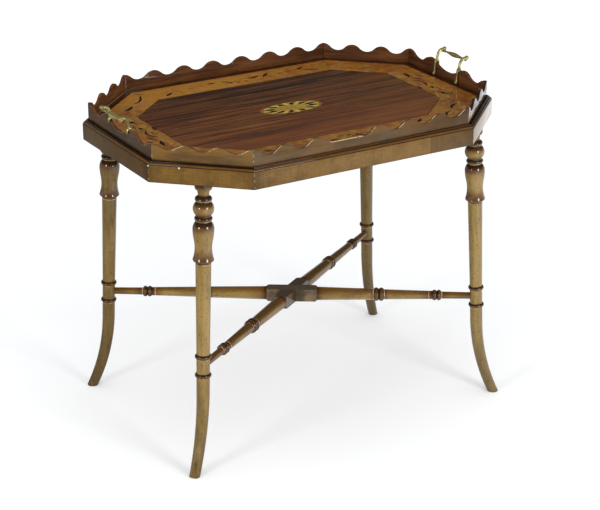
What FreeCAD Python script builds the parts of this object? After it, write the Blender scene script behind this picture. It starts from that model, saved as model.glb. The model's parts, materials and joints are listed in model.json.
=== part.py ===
"""Octagonal tray top tea table: a lift-off tray with a scalloped gallery on a turned stand.

Frame: +Z up, +X along the long side, origin on the floor under the middle of the table.
Every side piece is drawn in the frame of its own side: x along the side, y inwards from the
outer face of the apron, z up from the floor.  All sizes are millimetres and degrees.
"""
import FreeCAD, Part
import Sketcher
import math
import os

DOC = FreeCAD.newDocument("TrayTopTable")
SHEET = DOC.addObject("Spreadsheet::Sheet", "Dims")

DIMENSIONS = [
    ("top_length", 710, "stand top, outside the apron, long way"),
    ("top_depth", 508, "stand top, outside the apron, short way"),
    ("corner_cut_long", 133, "corner taken off each long side"),
    ("corner_cut_short", 125, "corner taken off each short side"),
    ("apron_bottom", 529, "underside of the apron above the floor"),
    ("apron_height", 30, "depth of the apron boards"),
    ("apron_thickness", 18, "thickness of the long and short apron boards"),
    ("corner_block_depth", 40, "thickness of the solid canted corners"),
    ("rebate_depth", 3.5, "rebate inside the apron's top edge, for the tray"),
    ("rim_width", 9, "rim moulding, front to back"),
    ("rim_height", 7.6, "rim moulding, above the apron"),
    ("rim_quirk", 1, "setback of the rim moulding above the apron face"),
    ("rim_step_height", 4.2, "top of the outer bead above the apron"),
    ("rim_step_width", 4.8, "outer bead, front to back"),
    ("bearer_width", 45, "cross bearer under the tray"),
    ("bearer_thickness", 14, "cross bearer, top to bottom"),
    ("bearer_place", 120, "cross bearer from the middle of the table"),
    ("bearer_housing", 6, "depth of the bearer's housing in the apron"),
    ("tray_clearance", 1, "gap between the rim and the gallery"),
    ("seat_gap", 0.3, "tray above its rebate and bearers"),
    ("tray_board", 8.7, "thickness of the tray's base board"),
    ("veneer", 1, "thickness of the veneers on the tray"),
    ("gallery_thickness", 5, "thickness of the gallery boards"),
    ("gallery_height", 39.7, "gallery, from its foot to its crests"),
    ("scallop_depth", 12.5, "crest to valley of the gallery's wave"),
    ("worn_scallop_depth", 9, "crest to valley on the worn front left cant"),
    ("crest_left_rear", 1.5, "corner crest behind the left side, above the other crests"),
    ("crest_left_front", -2.8, "corner crest before the left side, above the other crests"),
    ("crest_front_left", -1.2, "corner crest left of the front, above the other crests"),
    ("crest_right_front", -1.6, "corner crest before the right side, above the other crests"),
    ("crest_right_rear", -1, "corner crest behind the right side, above the other crests"),
    ("crest_back_left", 2, "corner crest left of the back, above the other crests"),
    ("waves_long", 7, "waves along a long side"),
    ("waves_canted", 3, "waves along a canted side"),
    ("lost_crest", 4, "broken crest of the front, counted from its right end"),
    ("dip_half_width", 54, "middle of the hand dip to the crest beside it"),
    ("dip_depth", 16, "depth of the hand dip below the crests"),
    ("dip_blend", 0.7, "share of the dip that is hollow, the rest is round"),
    ("crossband_width", 11, "dark crossbanding inside the gallery"),
    ("band_width", 62, "satinwood band, between its strings"),
    ("string_width", 1.5, "stringing line on each side of the band"),
    ("patera_length", 115, "oval patera, long way"),
    ("patera_width", 56, "oval patera, short way"),
    ("patera_border", 5.5, "border round the patera"),
    ("inlay_gap", 0.1, "glue line round a curved inlay"),
    ("glue_gap", 0.1, "glue line round a round tenon"),
    ("leg_inset", 15, "leg's axis inside the canted face, at the apron"),
    ("leg_splay", 2.63, "outward lean of a leg, degrees"),
    ("leg_tenon_radius", 8, "tenon at the head of a leg"),
    ("leg_tenon_length", 20, "tenon above the underside of the apron"),
    ("collar_radius", 15.2, "collar under the apron"),
    ("collar_height", 6, "straight part of the collar"),
    ("neck_top", 12, "foot of the collar's round, below the apron"),
    ("neck_top_radius", 10.8, "neck under the collar"),
    ("neck_foot", 22.5, "foot of the neck, below the apron"),
    ("neck_foot_radius", 9.2, "neck above the first ring"),
    ("first_ring", 27, "first ring, below the apron"),
    ("first_ring_radius", 14.8, "first ring"),
    ("groove_radius", 13.1, "wood between rings, ball and vase"),
    ("ball", 44, "ball, below the apron"),
    ("ball_radius", 18.2, "ball"),
    ("ball_half", 11.5, "half height of the ball"),
    ("second_ring", 61.5, "second ring, below the apron"),
    ("second_ring_radius", 15.6, "second ring"),
    ("ring_half", 3.6, "half height of the small rings"),
    ("vase_top", 66.5, "head of the vase, below the apron"),
    ("shoulder", 80, "widest part of the vase, below the apron"),
    ("shoulder_radius", 18.6, "vase at its shoulder"),
    ("vase_turn", 0.55, "share of the way to the waist that bulges"),
    ("waist", 114, "waist of the vase, below the apron"),
    ("waist_radius", 14.9, "vase at its waist"),
    ("flare", 134.5, "flare under the vase, below the apron"),
    ("flare_radius", 18.4, "flare under the vase"),
    ("flare_foot", 138, "underside of the flare, below the apron"),
    ("flare_foot_radius", 15.8, "underside of the flare"),
    ("shaft_top", 141, "head of the shaft, below the apron"),
    ("shaft_top_radius", 13.6, "shaft at its head"),
    ("shaft_foot_radius", 11.7, "shaft from the rings down to the bend"),
    ("node_ring_gap", 17.5, "leg rings above and below the stretcher"),
    ("node_ring_radius", 14.7, "leg rings beside the stretcher"),
    ("node_ring_half", 3.8, "half height of the leg rings"),
    ("bend_start", 147, "start of the foot's bend, above the floor"),
    ("bend_radius", 380, "radius of the foot's bend"),
    ("foot_radius", 9.4, "foot at the floor"),
    ("foot_round", 5.5, "rounded edge under the foot"),
    ("stretcher_level", 198.5, "axis of the stretcher above the floor"),
    ("block_length", 97, "square block where the rails cross"),
    ("block_side", 24, "section of the square block"),
    ("block_bevel", 5, "turned bevel at each end of the block"),
    ("rail_root_radius", 12.7, "rail beside its block"),
    ("rail_inner_radius", 10.6, "rail at its inner double ring, block side"),
    ("rail_middle_radius", 9.8, "rail beyond its inner double ring"),
    ("rail_outer_radius", 7.9, "rail at its outer double ring, inner side"),
    ("rail_tail_radius", 6.9, "rail at its outer double ring, leg side"),
    ("rail_end_radius", 6.4, "rail where it enters the leg"),
    ("inner_ring", 164, "inner double ring from the crossing"),
    ("inner_ring_radius", 12.9, "inner double ring"),
    ("inner_bead_half", 4.7, "half width of a bead of the inner double ring"),
    ("outer_ring", 273, "outer double ring from the crossing"),
    ("outer_ring_radius", 10.2, "outer double ring"),
    ("outer_bead_half", 4.2, "half width of a bead of the outer double ring"),
    ("rail_reach", 4, "leg's axis to the end of the rail"),
    ("lap_gap", 0.05, "glue line in the halved joint"),
    ("right_handle_place", -3.5, "right handle and its hand dip, from the middle of the side"),
    ("post_half_spacing", 36, "handle post from the middle of its handle"),
    ("post_width", 4, "handle fork, across"),
    ("prong_thickness", 2.5, "handle prong"),
    ("outer_prong_reach", 28, "foot of the outer prong above the tray's underside"),
    ("crotch_height", 35.6, "crotch of the fork above the tray's underside"),
    ("bridge_thickness", 5, "fork above its crotch"),
    ("arm_radius", 2.6, "round arm of the handle"),
    ("arm_bend", 14.5, "bend of the arm"),
    ("curl_bend", 4, "curl at the end of the arm"),
    ("curl_turn", 60, "how far the arm curls up, degrees"),
    ("scroll_radius", 4, "scroll that ends the arm"),
    ("foot_ball_radius", 3.3, "ball at the foot of the inner prong"),
    ("ball_floor_gap", 0.3, "foot ball above the tray's floor"),
    ("boss_radius", 4, "boss that takes the grip"),
    ("peg_radius", 1.3, "peg at the end of the grip"),
    ("peg_length", 2.2, "peg inside its boss"),
    ("grip_end_radius", 2.1, "grip at its ends"),
    ("grip_middle_radius", 4.3, "grip at its middle"),
    ("grip_collar_radius", 2.9, "collar beside the boss"),
    ("grip_collar_width", 2, "collar beside the boss"),
    ("pin_radius", 0.8, "pin through a fork"),
    ("pin_level", 30.4, "pin above the tray's underside"),
    ("pin_proud", 0.3, "pin beyond each prong"),
    ("fit_gap", 0.1, "gap round pins, pegs and prongs"),
]


class Size:
    """A number that remembers the sheet formula it comes from."""

    def __init__(self, value, formula):
        self.value = float(value)
        self.formula = formula

    @staticmethod
    def of(number):
        return number if isinstance(number, Size) else Size(number, repr(float(number)))

    def __add__(self, other):
        other = Size.of(other)
        return Size(self.value + other.value, f"({self.formula} + {other.formula})")

    def __sub__(self, other):
        other = Size.of(other)
        return Size(self.value - other.value, f"({self.formula} - {other.formula})")

    def __mul__(self, other):
        other = Size.of(other)
        return Size(self.value * other.value, f"({self.formula} * {other.formula})")

    def __truediv__(self, other):
        other = Size.of(other)
        return Size(self.value / other.value, f"({self.formula} / {other.formula})")

    def __neg__(self):
        return self * -1

    __radd__ = __add__
    __rmul__ = __mul__

    def __rsub__(self, other):
        return Size.of(other) - self


def fill_sheet():
    """Write the driving dimensions and return them as sizes by name."""
    sizes = {}
    for row, (alias, number, meaning) in enumerate(DIMENSIONS, start=1):
        SHEET.set(f"A{row}", str(number))
        SHEET.setAlias(f"A{row}", alias)
        SHEET.set(f"B{row}", meaning)
    DOC.recompute()
    for alias, _, _ in DIMENSIONS:
        sizes[alias] = Size(SHEET.get(alias), f"Dims.{alias}")
    return sizes


D = fill_sheet()


def sine(angle):
    return Size(math.sin(math.radians(angle.value)), f"sin({angle.formula})")


def cosine(angle):
    return Size(math.cos(math.radians(angle.value)), f"cos({angle.formula})")


def tangent(angle):
    return Size(math.tan(math.radians(angle.value)), f"tan({angle.formula})")


def root(square):
    return Size(math.sqrt(square.value), f"sqrt({square.formula})")


def arc_tangent(ratio):
    return Size(math.degrees(math.atan(ratio.value)), f"(atan({ratio.formula}) / (1 deg))")


def arc_sine(ratio):
    return Size(math.degrees(math.asin(ratio.value)), f"(asin({ratio.formula}) / (1 deg))")


# Levels and insets that several pieces share.
APRON_TOP = D["apron_bottom"] + D["apron_height"]
SEAT = APRON_TOP - D["rebate_depth"]
TRAY_FOOT = SEAT + D["seat_gap"]
VENEER_FOOT = TRAY_FOOT + D["tray_board"]
TRAY_FLOOR = VENEER_FOOT + D["veneer"]
CREST = TRAY_FOOT + D["gallery_height"]
GALLERY_FACE = D["rim_width"] + D["tray_clearance"]
GALLERY_BACK = GALLERY_FACE + D["gallery_thickness"]
CANT = root(D["corner_cut_long"] * D["corner_cut_long"]
            + D["corner_cut_short"] * D["corner_cut_short"])
LONG_TURN = arc_tangent(D["corner_cut_short"] / D["corner_cut_long"])
LONG_MITRE = tangent(LONG_TURN / 2)
SHORT_MITRE = tangent((90 - LONG_TURN) / 2)
HALF_LONG = D["top_length"] / 2 - D["corner_cut_long"]
HALF_SHORT = D["top_depth"] / 2 - D["corner_cut_short"]


class Side:
    """One side of the octagon: its frame, half length and mitres at its two ends."""

    def __init__(self, name, turn, middle, half, first_mitre, last_mitre):
        self.name = name
        self.half = half
        self.first_mitre = first_mitre
        self.last_mitre = last_mitre
        self.placement = FreeCAD.Placement(
            FreeCAD.Vector(middle[0], middle[1], 0),
            FreeCAD.Rotation(FreeCAD.Vector(0, 0, 1), turn))

    def first_end(self, inset):
        return -(self.half - inset * self.first_mitre)

    def last_end(self, inset):
        return self.half - inset * self.last_mitre


def make_sides():
    """The eight sides, with the canted ones drawn from their middles."""
    length, depth = D["top_length"].value / 2, D["top_depth"].value / 2
    cut_x, cut_y = D["corner_cut_long"].value, D["corner_cut_short"].value
    mid_x, mid_y = length - cut_x / 2, depth - cut_y / 2
    turn = LONG_TURN.value
    half_cant = CANT / 2
    return [
        Side("front", 0, (0, -depth), HALF_LONG, LONG_MITRE, LONG_MITRE),
        Side("back", 180, (0, depth), HALF_LONG, LONG_MITRE, LONG_MITRE),
        Side("left", -90, (-length, 0), HALF_SHORT, SHORT_MITRE, SHORT_MITRE),
        Side("right", 90, (length, 0), HALF_SHORT, SHORT_MITRE, SHORT_MITRE),
        Side("front_left", -turn, (-mid_x, -mid_y), half_cant, SHORT_MITRE, LONG_MITRE),
        Side("front_right", turn, (mid_x, -mid_y), half_cant, LONG_MITRE, SHORT_MITRE),
        Side("back_right", 180 - turn, (mid_x, mid_y), half_cant, SHORT_MITRE, LONG_MITRE),
        Side("back_left", turn - 180, (-mid_x, mid_y), half_cant, LONG_MITRE, SHORT_MITRE),
    ]


SIDES = make_sides()
CANTED = SIDES[4:]
ENDS = SIDES[2:4]
PIECES = []


# Helpers for bodies, sketches and features.

def new_body(name, placement=FreeCAD.Placement()):
    body = DOC.addObject("PartDesign::Body", name)
    body.Label = name
    body.Placement = placement
    PIECES.append(body)
    return body


def bind(feature, prop, size):
    size = Size.of(size)
    feature.setExpression(prop, size.formula)


def new_sketch(body, name, plane, shift=None, offset=None):
    """A sketch on one of the body's origin planes, moved along its normal or set by offset."""
    sketch = body.newObject("Sketcher::SketchObject", name)
    for feature in body.Origin.OriginFeatures:
        if feature.Role == plane:
            sketch.AttachmentSupport = [(feature, "")]
    sketch.MapMode = "FlatFace"
    if offset is not None:
        sketch.AttachmentOffset = offset
    if shift is not None:
        bind(sketch, "AttachmentOffset.Base.z", shift)
    return sketch


class Arc:
    """A round stretch of an outline from its node to the next one."""

    def __init__(self, radius, leftwards):
        self.radius = Size.of(radius)
        self.leftwards = leftwards


def bead_radius(half_width, rise):
    """Radius of an arc over a chord of twice half_width that rises by rise."""
    half_width, rise = Size.of(half_width), Size.of(rise)
    return (half_width * half_width + rise * rise) / (rise * 2)


def round_piece(start, end, arc):
    """The arc of a circle between two points, and whether it runs from end to start."""
    radius = arc.radius.value
    middle = (start + end) * 0.5
    chord = end - start
    reach = math.sqrt(max(radius ** 2 - (chord.Length / 2) ** 2, 0))
    side = FreeCAD.Vector(-chord.y, chord.x, 0).normalize()
    centre = middle + side * (reach if arc.leftwards else -reach)
    first, last = (start, end) if arc.leftwards else (end, start)
    angles = [math.atan2(p.y - centre.y, p.x - centre.x) for p in (first, last)]
    circle = Part.Circle(centre, FreeCAD.Vector(0, 0, 1), radius)
    return Part.ArcOfCircle(circle, angles[0], angles[1]), not arc.leftwards


def pin_point(sketch, geometry, place, x, y):
    """Hold one point of the sketch at sizes x and y."""
    for kind, axis, size in (("DistanceX", -2, x), ("DistanceY", -1, y)):
        if abs(size.value) < 1e-9:
            sketch.addConstraint(Sketcher.Constraint("PointOnObject", geometry, place, axis))
            continue
        index = sketch.addConstraint(
            Sketcher.Constraint(kind, -1, 1, geometry, place, size.value))
        sketch.setExpression(f"Constraints[{index}]", size.formula)


def draw(sketch, nodes, closed):
    """Draw lines and arcs through nodes: (x, y) or (x, y, Arc to the next node)."""
    points = [(Size.of(node[0]), Size.of(node[1])) for node in nodes]
    count = len(nodes) if closed else len(nodes) - 1
    ends = []
    for index in range(count):
        node = nodes[index]
        x, y = points[index]
        next_x, next_y = points[(index + 1) % len(nodes)]
        start = FreeCAD.Vector(x.value, y.value, 0)
        end = FreeCAD.Vector(next_x.value, next_y.value, 0)
        if len(node) > 2:
            shape, backwards = round_piece(start, end, node[2])
        else:
            shape, backwards = Part.LineSegment(start, end), False
        geometry = sketch.addGeometry(shape, False)
        ends.append((geometry, 2 if backwards else 1, 1 if backwards else 2))
    for index, (geometry, first, last) in enumerate(ends):
        pin_point(sketch, geometry, first, *points[index])
        if closed or index + 1 < count:
            next_geometry, next_first, _ = ends[(index + 1) % count]
            sketch.addConstraint(
                Sketcher.Constraint("Coincident", geometry, last, next_geometry, next_first))
        else:
            pin_point(sketch, geometry, last, *points[-1])
        if len(nodes[index]) > 2:
            radius = nodes[index][2].radius
            number = sketch.addConstraint(
                Sketcher.Constraint("Radius", geometry, radius.value))
            sketch.setExpression(f"Constraints[{number}]", radius.formula)
    return sketch


def outline(sketch, nodes):
    return draw(sketch, nodes, closed=True)


def circle(sketch, x, y, radius):
    """Draw a circle of size radius about x, y."""
    x, y, radius = Size.of(x), Size.of(y), Size.of(radius)
    centre = FreeCAD.Vector(x.value, y.value, 0)
    geometry = sketch.addGeometry(
        Part.Circle(centre, FreeCAD.Vector(0, 0, 1), radius.value), False)
    pin_point(sketch, geometry, 3, x, y)
    number = sketch.addConstraint(Sketcher.Constraint("Radius", geometry, radius.value))
    sketch.setExpression(f"Constraints[{number}]", radius.formula)
    return sketch


def pad(body, sketch, length, backwards=False, symmetric=False):
    feature = body.newObject("PartDesign::Pad", f"{sketch.Name}_pad")
    feature.Profile = sketch
    feature.Reversed = backwards
    if symmetric:
        feature.SideType = "Symmetric"
    bind(feature, "Length", length)
    return feature


def pocket(body, sketch, depth=None, backwards=False, symmetric=False):
    """Cut along the sketch's normal, through everything where no depth is given."""
    feature = body.newObject("PartDesign::Pocket", f"{sketch.Name}_cut")
    feature.Profile = sketch
    feature.Reversed = backwards
    if symmetric:
        feature.SideType = "Symmetric"
    if depth is None:
        feature.Type = "ThroughAll"
    else:
        bind(feature, "Length", depth)
    return feature


def revolve(body, sketch, axis):
    """Turn the sketch about its own axis, "H_Axis" or "V_Axis"."""
    feature = body.newObject("PartDesign::Revolution", f"{sketch.Name}_turned")
    feature.Profile = sketch
    feature.ReferenceAxis = (sketch, [axis])
    feature.Angle = 360
    return feature


def ball(body, name, plane, shift, x, y, radius):
    """A ball centred at x, y of a plane that lies shift along its normal."""
    sketch = new_sketch(body, name, plane, shift)
    outline(sketch, [(x, y - radius, Arc(radius, True)), (x + radius, y, Arc(radius, True)),
                     (x, y + radius)])
    feature = body.newObject("PartDesign::Revolution", f"{name}_turned")
    feature.Profile = sketch
    feature.ReferenceAxis = (sketch, ["Edge3"])
    feature.Angle = 360
    return feature


def mitre_ends(body, side, inner):
    """Cut both ends of a side piece along the octagon's mitre lines, out to inset inner."""
    spare = 5.0
    sketch = new_sketch(body, f"{body.Name}_mitres", "XY_Plane")
    outline(sketch, [(side.first_end(Size.of(-1)), -1), (side.first_end(inner), inner),
                     (-side.half - spare, inner), (-side.half - spare, -1)])
    outline(sketch, [(side.last_end(Size.of(-1)), -1), (side.last_end(inner), inner),
                     (side.half + spare, inner), (side.half + spare, -1)])
    return pocket(body, sketch, backwards=True)


def octagon_nodes(inset):
    """The eight corners of the table's octagon, moved in by inset."""
    x_long = HALF_LONG - inset * LONG_MITRE
    y_long = D["top_depth"] / 2 - inset
    x_short = D["top_length"] / 2 - inset
    y_short = HALF_SHORT - inset * SHORT_MITRE
    return [(x_long, y_long), (-x_long, y_long), (-x_short, y_short), (-x_short, -y_short),
            (-x_long, -y_long), (x_long, -y_long), (x_short, -y_short), (x_short, y_short)]


# The stand's top.

def side_plan(side, near, far):
    """Plan of a mitred side piece from inset near to inset far."""
    return [(side.first_end(near), near), (side.last_end(near), near),
            (side.last_end(far), far), (side.first_end(far), far)]


def make_apron(side):
    """A mitred apron board, rebated for the tray; a canted one is the block for a leg."""
    canted = side in CANTED
    thickness = D["corner_block_depth"] if canted else D["apron_thickness"]
    body = new_body(f"{'corner_block' if canted else 'apron'}_{side.name}", side.placement)
    plan = new_sketch(body, f"{body.Name}_plan", "XY_Plane", D["apron_bottom"])
    outline(plan, side_plan(side, Size.of(0), thickness))
    pad(body, plan, D["apron_height"])
    rebate = new_sketch(body, f"{body.Name}_rebate", "XY_Plane", APRON_TOP)
    outline(rebate, side_plan(side, D["rim_width"], thickness + 1))
    pocket(body, rebate, D["rebate_depth"])
    if canted:
        bore_for_leg(body, side)
    if side.name in ("front", "back"):
        cut_bearer_housings(body)
    return body


def bore_for_leg(body, side):
    """A blind hole along the leg's leaning axis, up from the underside."""
    spare = D["leg_tenon_radius"]
    in_table = leg_placement(side)
    offset = side.placement.inverse().multiply(in_table)
    sketch = new_sketch(body, f"{body.Name}_bore", "XY_Plane", offset=offset.multiply(
        FreeCAD.Placement(FreeCAD.Vector(0, 0, -spare.value), FreeCAD.Rotation())))
    circle(sketch, 0, 0, D["leg_tenon_radius"] + D["glue_gap"])
    pocket(body, sketch, D["leg_tenon_length"] + D["glue_gap"] + spare, backwards=True)


def bearer_edges(sign):
    """The two long edges of the left (-1) or right (1) bearer."""
    middle = D["bearer_place"] * sign
    return middle - D["bearer_width"] / 2, middle + D["bearer_width"] / 2


def cut_bearer_housings(body):
    """Two housings in a long apron board, open inwards and to the rebate."""
    sketch = new_sketch(body, f"{body.Name}_housings", "XY_Plane", SEAT)
    inner = D["apron_thickness"]
    floor = inner - D["bearer_housing"]
    for sign in (-1, 1):
        near, far = bearer_edges(sign)
        outline(sketch, [(near, floor), (far, floor), (far, inner + 1), (near, inner + 1)])
    pocket(body, sketch, D["bearer_thickness"])


def make_bearer(name, sign):
    """A cross bearer let into the long apron boards, its top level with their rebates."""
    body = new_body(name)
    reach = D["top_depth"] / 2 - D["apron_thickness"] + D["bearer_housing"]
    near, far = bearer_edges(sign)
    sketch = new_sketch(body, f"{name}_plan", "XY_Plane", SEAT - D["bearer_thickness"])
    outline(sketch, [(near, -reach), (far, -reach), (far, reach), (near, reach)])
    pad(body, sketch, D["bearer_thickness"])
    return body


def make_rim(side):
    """A rim moulding: an outer bead, a quirk and a higher inner bead, mitred at its ends."""
    body = new_body(f"rim_{side.name}", side.placement)
    sketch = new_sketch(body, f"{body.Name}_section", "YZ_Plane")
    foot = APRON_TOP
    step = foot + D["rim_step_height"]
    shelf = D["rim_step_width"]
    crown = D["rim_height"] - D["rim_step_height"]
    flat = crown / 4
    bead_half = (D["rim_width"] - shelf) / 2
    spring = D["rim_quirk"]
    outer = (shelf - spring) * (shelf - spring) + (step - foot - spring) * (step - foot - spring)
    outline(sketch, [
        (spring, foot), (D["rim_width"], foot),
        (D["rim_width"], step + flat, Arc(bead_radius(bead_half, crown - flat), True)),
        (shelf, step + flat), (shelf, step, Arc(root(outer) * 0.78, True)),
        (spring, foot + spring)])
    pad(body, sketch, side.half * 2, symmetric=True)
    mitre_ends(body, side, D["rim_width"] + 1)
    return body


# The tray.

def corner_crests():
    """Levels of the gallery's crests at the first and the last end of each side."""
    left_rear, left_front, front_left, right_front, right_rear, back_left = (
        CREST + D[f"crest_{corner}"] for corner in (
            "left_rear", "left_front", "front_left", "right_front", "right_rear", "back_left"))
    return {
        "left": (left_rear, left_front), "front_left": (left_front, front_left),
        "front": (front_left, CREST), "front_right": (CREST, right_front),
        "right": (right_front, right_rear), "back_right": (right_rear, CREST),
        "back": (CREST, back_left), "back_left": (back_left, left_rear)}


CORNER_CRESTS = corner_crests()


def wave_nodes(start, pitch, crests, depth, lost=None):
    """Crests and valleys leftwards from a crest at start, as nodes of tangent arcs.

    The last of the crests is left to the caller.  The crest after wave number lost is
    broken away: a straight edge runs from the bottom of that valley to the next one.
    """
    nodes = []
    for wave, (crest, following) in enumerate(zip(crests, crests[1:]), start=1):
        valley = (crest + following) / 2 - depth
        fall, climb = (crest - valley) / 2, (following - valley) / 2
        falling, climbing = bead_radius(pitch / 4, fall), bead_radius(pitch / 4, climb)
        if wave - 1 != lost:
            nodes += [(start - pitch * (wave - 1), crest, Arc(falling, True)),
                      (start - pitch * (wave - 0.75), valley + fall, Arc(falling, False))]
        bottom = (start - pitch * (wave - 0.5), valley)
        if wave == lost:
            nodes.append(bottom)
        else:
            nodes += [bottom + (Arc(climbing, False),),
                      (start - pitch * (wave - 0.25), valley + climb, Arc(climbing, True))]
    return nodes


def handle_middle(side):
    """The middle of a handle and of its hand dip, along their side."""
    return D["right_handle_place"] if side.name == "right" else Size.of(0)


def hand_dip_nodes(middle):
    """The hand dip from its right crest to its left one, between those crests."""
    across, down = D["dip_half_width"], D["dip_depth"]
    hollow = D["dip_blend"]
    edge = across * hollow
    level = CREST - down + down * hollow
    hollow_radius = bead_radius(edge, down * hollow)
    crest_radius = hollow_radius * (1 - hollow) / hollow
    return [(middle + across, CREST, Arc(crest_radius, True)),
            (middle + edge, level, Arc(hollow_radius, False)),
            (middle - edge, level, Arc(crest_radius, True))]


def scallop_nodes(side):
    """The gallery's top edge from its last end to its first, seen square on."""
    first, last = side.first_end(GALLERY_FACE), side.last_end(GALLERY_FACE)
    first_crest, last_crest = CORNER_CRESTS[side.name]
    if side in ENDS:
        middle, depth = handle_middle(side), D["scallop_depth"]
        from_dip = middle - D["dip_half_width"]
        right = wave_nodes(last, last - middle - D["dip_half_width"], [last_crest, CREST],
                           depth)
        left = wave_nodes(from_dip, from_dip - first, [CREST, first_crest], depth)
        return right + hand_dip_nodes(middle) + left + [(first, first_crest)]
    waves = int(D["waves_canted" if side in CANTED else "waves_long"].value)
    crests = [last_crest + (first_crest - last_crest) * (wave / waves)
              for wave in range(waves + 1)]
    depth = D["worn_scallop_depth" if side.name == "front_left" else "scallop_depth"]
    lost = int(D["lost_crest"].value) if side.name == "front" else None
    return wave_nodes(last, (last - first) / waves, crests, depth, lost) \
        + [(first, first_crest)]


def make_gallery(side):
    """A scalloped gallery board, mitred, with pin holes where a handle stands on it."""
    body = new_body(f"gallery_{side.name}", side.placement)
    first, last = side.first_end(GALLERY_FACE), side.last_end(GALLERY_FACE)
    sketch = new_sketch(body, f"{body.Name}_face", "XZ_Plane", -GALLERY_FACE)
    outline(sketch, [(first, TRAY_FOOT), (last, TRAY_FOOT)] + scallop_nodes(side))
    pad(body, sketch, D["gallery_thickness"], backwards=True)
    mitre_ends(body, side, GALLERY_BACK + 1)
    if side in ENDS:
        cut_pin_holes(body, side)
    return body


def cut_pin_holes(body, side):
    sketch = new_sketch(body, f"{body.Name}_pins", "XZ_Plane", -GALLERY_FACE)
    for sign in (-1, 1):
        circle(sketch, handle_middle(side) + D["post_half_spacing"] * sign,
               TRAY_FOOT + D["pin_level"], D["pin_radius"] + D["fit_gap"])
    pocket(body, sketch, symmetric=True)


def make_board(name, inset, foot, thickness, hole=None, oval=None):
    """A flat octagonal sheet, with an octagonal hole or an oval one."""
    body = new_body(name)
    sketch = new_sketch(body, f"{name}_plan", "XY_Plane", foot)
    outline(sketch, octagon_nodes(inset))
    if hole is not None:
        outline(sketch, octagon_nodes(hole))
    pad(body, sketch, thickness)
    if oval is not None:
        cut = new_sketch(body, f"{name}_oval", "XY_Plane", foot + thickness)
        ellipse(cut, *oval)
        pocket(body, cut, thickness)
    return body


def ellipse(sketch, half_length, half_width):
    """Draw an ellipse about the origin, long way along x."""
    far = FreeCAD.Vector(half_length.value, 0, 0)
    up = FreeCAD.Vector(0, half_width.value, 0)
    curve = sketch.addGeometry(Part.Ellipse(far, up, FreeCAD.Vector(0, 0, 0)), False)
    sketch.addConstraint(Sketcher.Constraint("Coincident", curve, 3, -1, 1))
    for end, alignment in ((far, "InternalAlignment:EllipseMajorDiameter"),
                           (up, "InternalAlignment:EllipseMinorDiameter")):
        line = sketch.addGeometry(Part.LineSegment(end * -1, end), True)
        sketch.addConstraint(Sketcher.Constraint(alignment, line, curve))
        across = "Horizontal" if end is far else "Vertical"
        if end is far:
            sketch.addConstraint(Sketcher.Constraint(across, line))
        length = half_length if end is far else half_width
        number = sketch.addConstraint(
            Sketcher.Constraint("Distance", line, length.value * 2))
        sketch.setExpression(f"Constraints[{number}]", (length * 2).formula)
    return sketch


def make_oval(name, half_length, half_width, hole=None):
    """A flat oval inlay, solid or with an oval hole."""
    body = new_body(name)
    sketch = new_sketch(body, f"{name}_plan", "XY_Plane", VENEER_FOOT)
    ellipse(sketch, half_length, half_width)
    pad(body, sketch, D["veneer"])
    if hole is not None:
        cut = new_sketch(body, f"{name}_hole", "XY_Plane", TRAY_FLOOR)
        ellipse(cut, *hole)
        pocket(body, cut, D["veneer"])
    return body


def make_tray_surface():
    """The base board and the sheets of veneer laid on it, from the gallery inwards."""
    make_board("tray_board", GALLERY_BACK, TRAY_FOOT, D["tray_board"])
    edges = [GALLERY_BACK]
    for width in ("crossband_width", "string_width", "band_width", "string_width"):
        edges.append(edges[-1] + D[width])
    names = ("crossband", "outer_stringing", "satinwood_band", "inner_stringing")
    for name, outer, inner in zip(names, edges, edges[1:]):
        make_board(name, outer, VENEER_FOOT, D["veneer"], hole=inner)
    half_length, half_width = D["patera_length"] / 2, D["patera_width"] / 2
    border, gap = D["patera_border"], D["inlay_gap"]
    make_board("field_veneer", edges[-1], VENEER_FOOT, D["veneer"],
               oval=(half_length + border + gap, half_width + border + gap))
    make_oval("patera_border", half_length + border, half_width + border,
              hole=(half_length + gap, half_width + gap))
    make_oval("patera", half_length, half_width)


# The brass handles.

EDGE_MIDDLE = GALLERY_FACE + D["gallery_thickness"] / 2
BRIDGE_TOP = TRAY_FOOT + D["crotch_height"] + D["bridge_thickness"]
GRIP_INSET = EDGE_MIDDLE - D["arm_bend"]
GRIP_LEVEL = BRIDGE_TOP + D["arm_bend"]
OUTER_PRONG = GALLERY_FACE - D["fit_gap"]
INNER_PRONG = GALLERY_BACK + D["fit_gap"]
PIN_LEVEL = TRAY_FOOT + D["pin_level"]


def make_post(side, sign):
    """A handle post: a fork over the gallery, a bent arm, a boss for the grip and a scroll."""
    end = "front" if sign * (1 if side.name == "left" else -1) > 0 else "back"
    body = new_body(f"handle_post_{side.name}_{end}", side.placement)
    place = handle_middle(side) + D["post_half_spacing"] * sign
    add_fork(body, place)
    add_arm(body, place)
    bottom = place - (D["boss_radius"] - D["peg_length"] - D["fit_gap"]) * sign
    bore = new_sketch(body, f"{body.Name}_peg_hole", "YZ_Plane", bottom)
    circle(bore, GRIP_INSET, GRIP_LEVEL, D["peg_radius"] + D["fit_gap"])
    pocket(body, bore, backwards=sign < 0)
    pins = new_sketch(body, f"{body.Name}_pin_hole", "XZ_Plane")
    circle(pins, place, PIN_LEVEL, D["pin_radius"] + D["fit_gap"])
    pocket(body, pins, (GALLERY_BACK + D["prong_thickness"]) * 2 + 2, symmetric=True)
    return body


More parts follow.
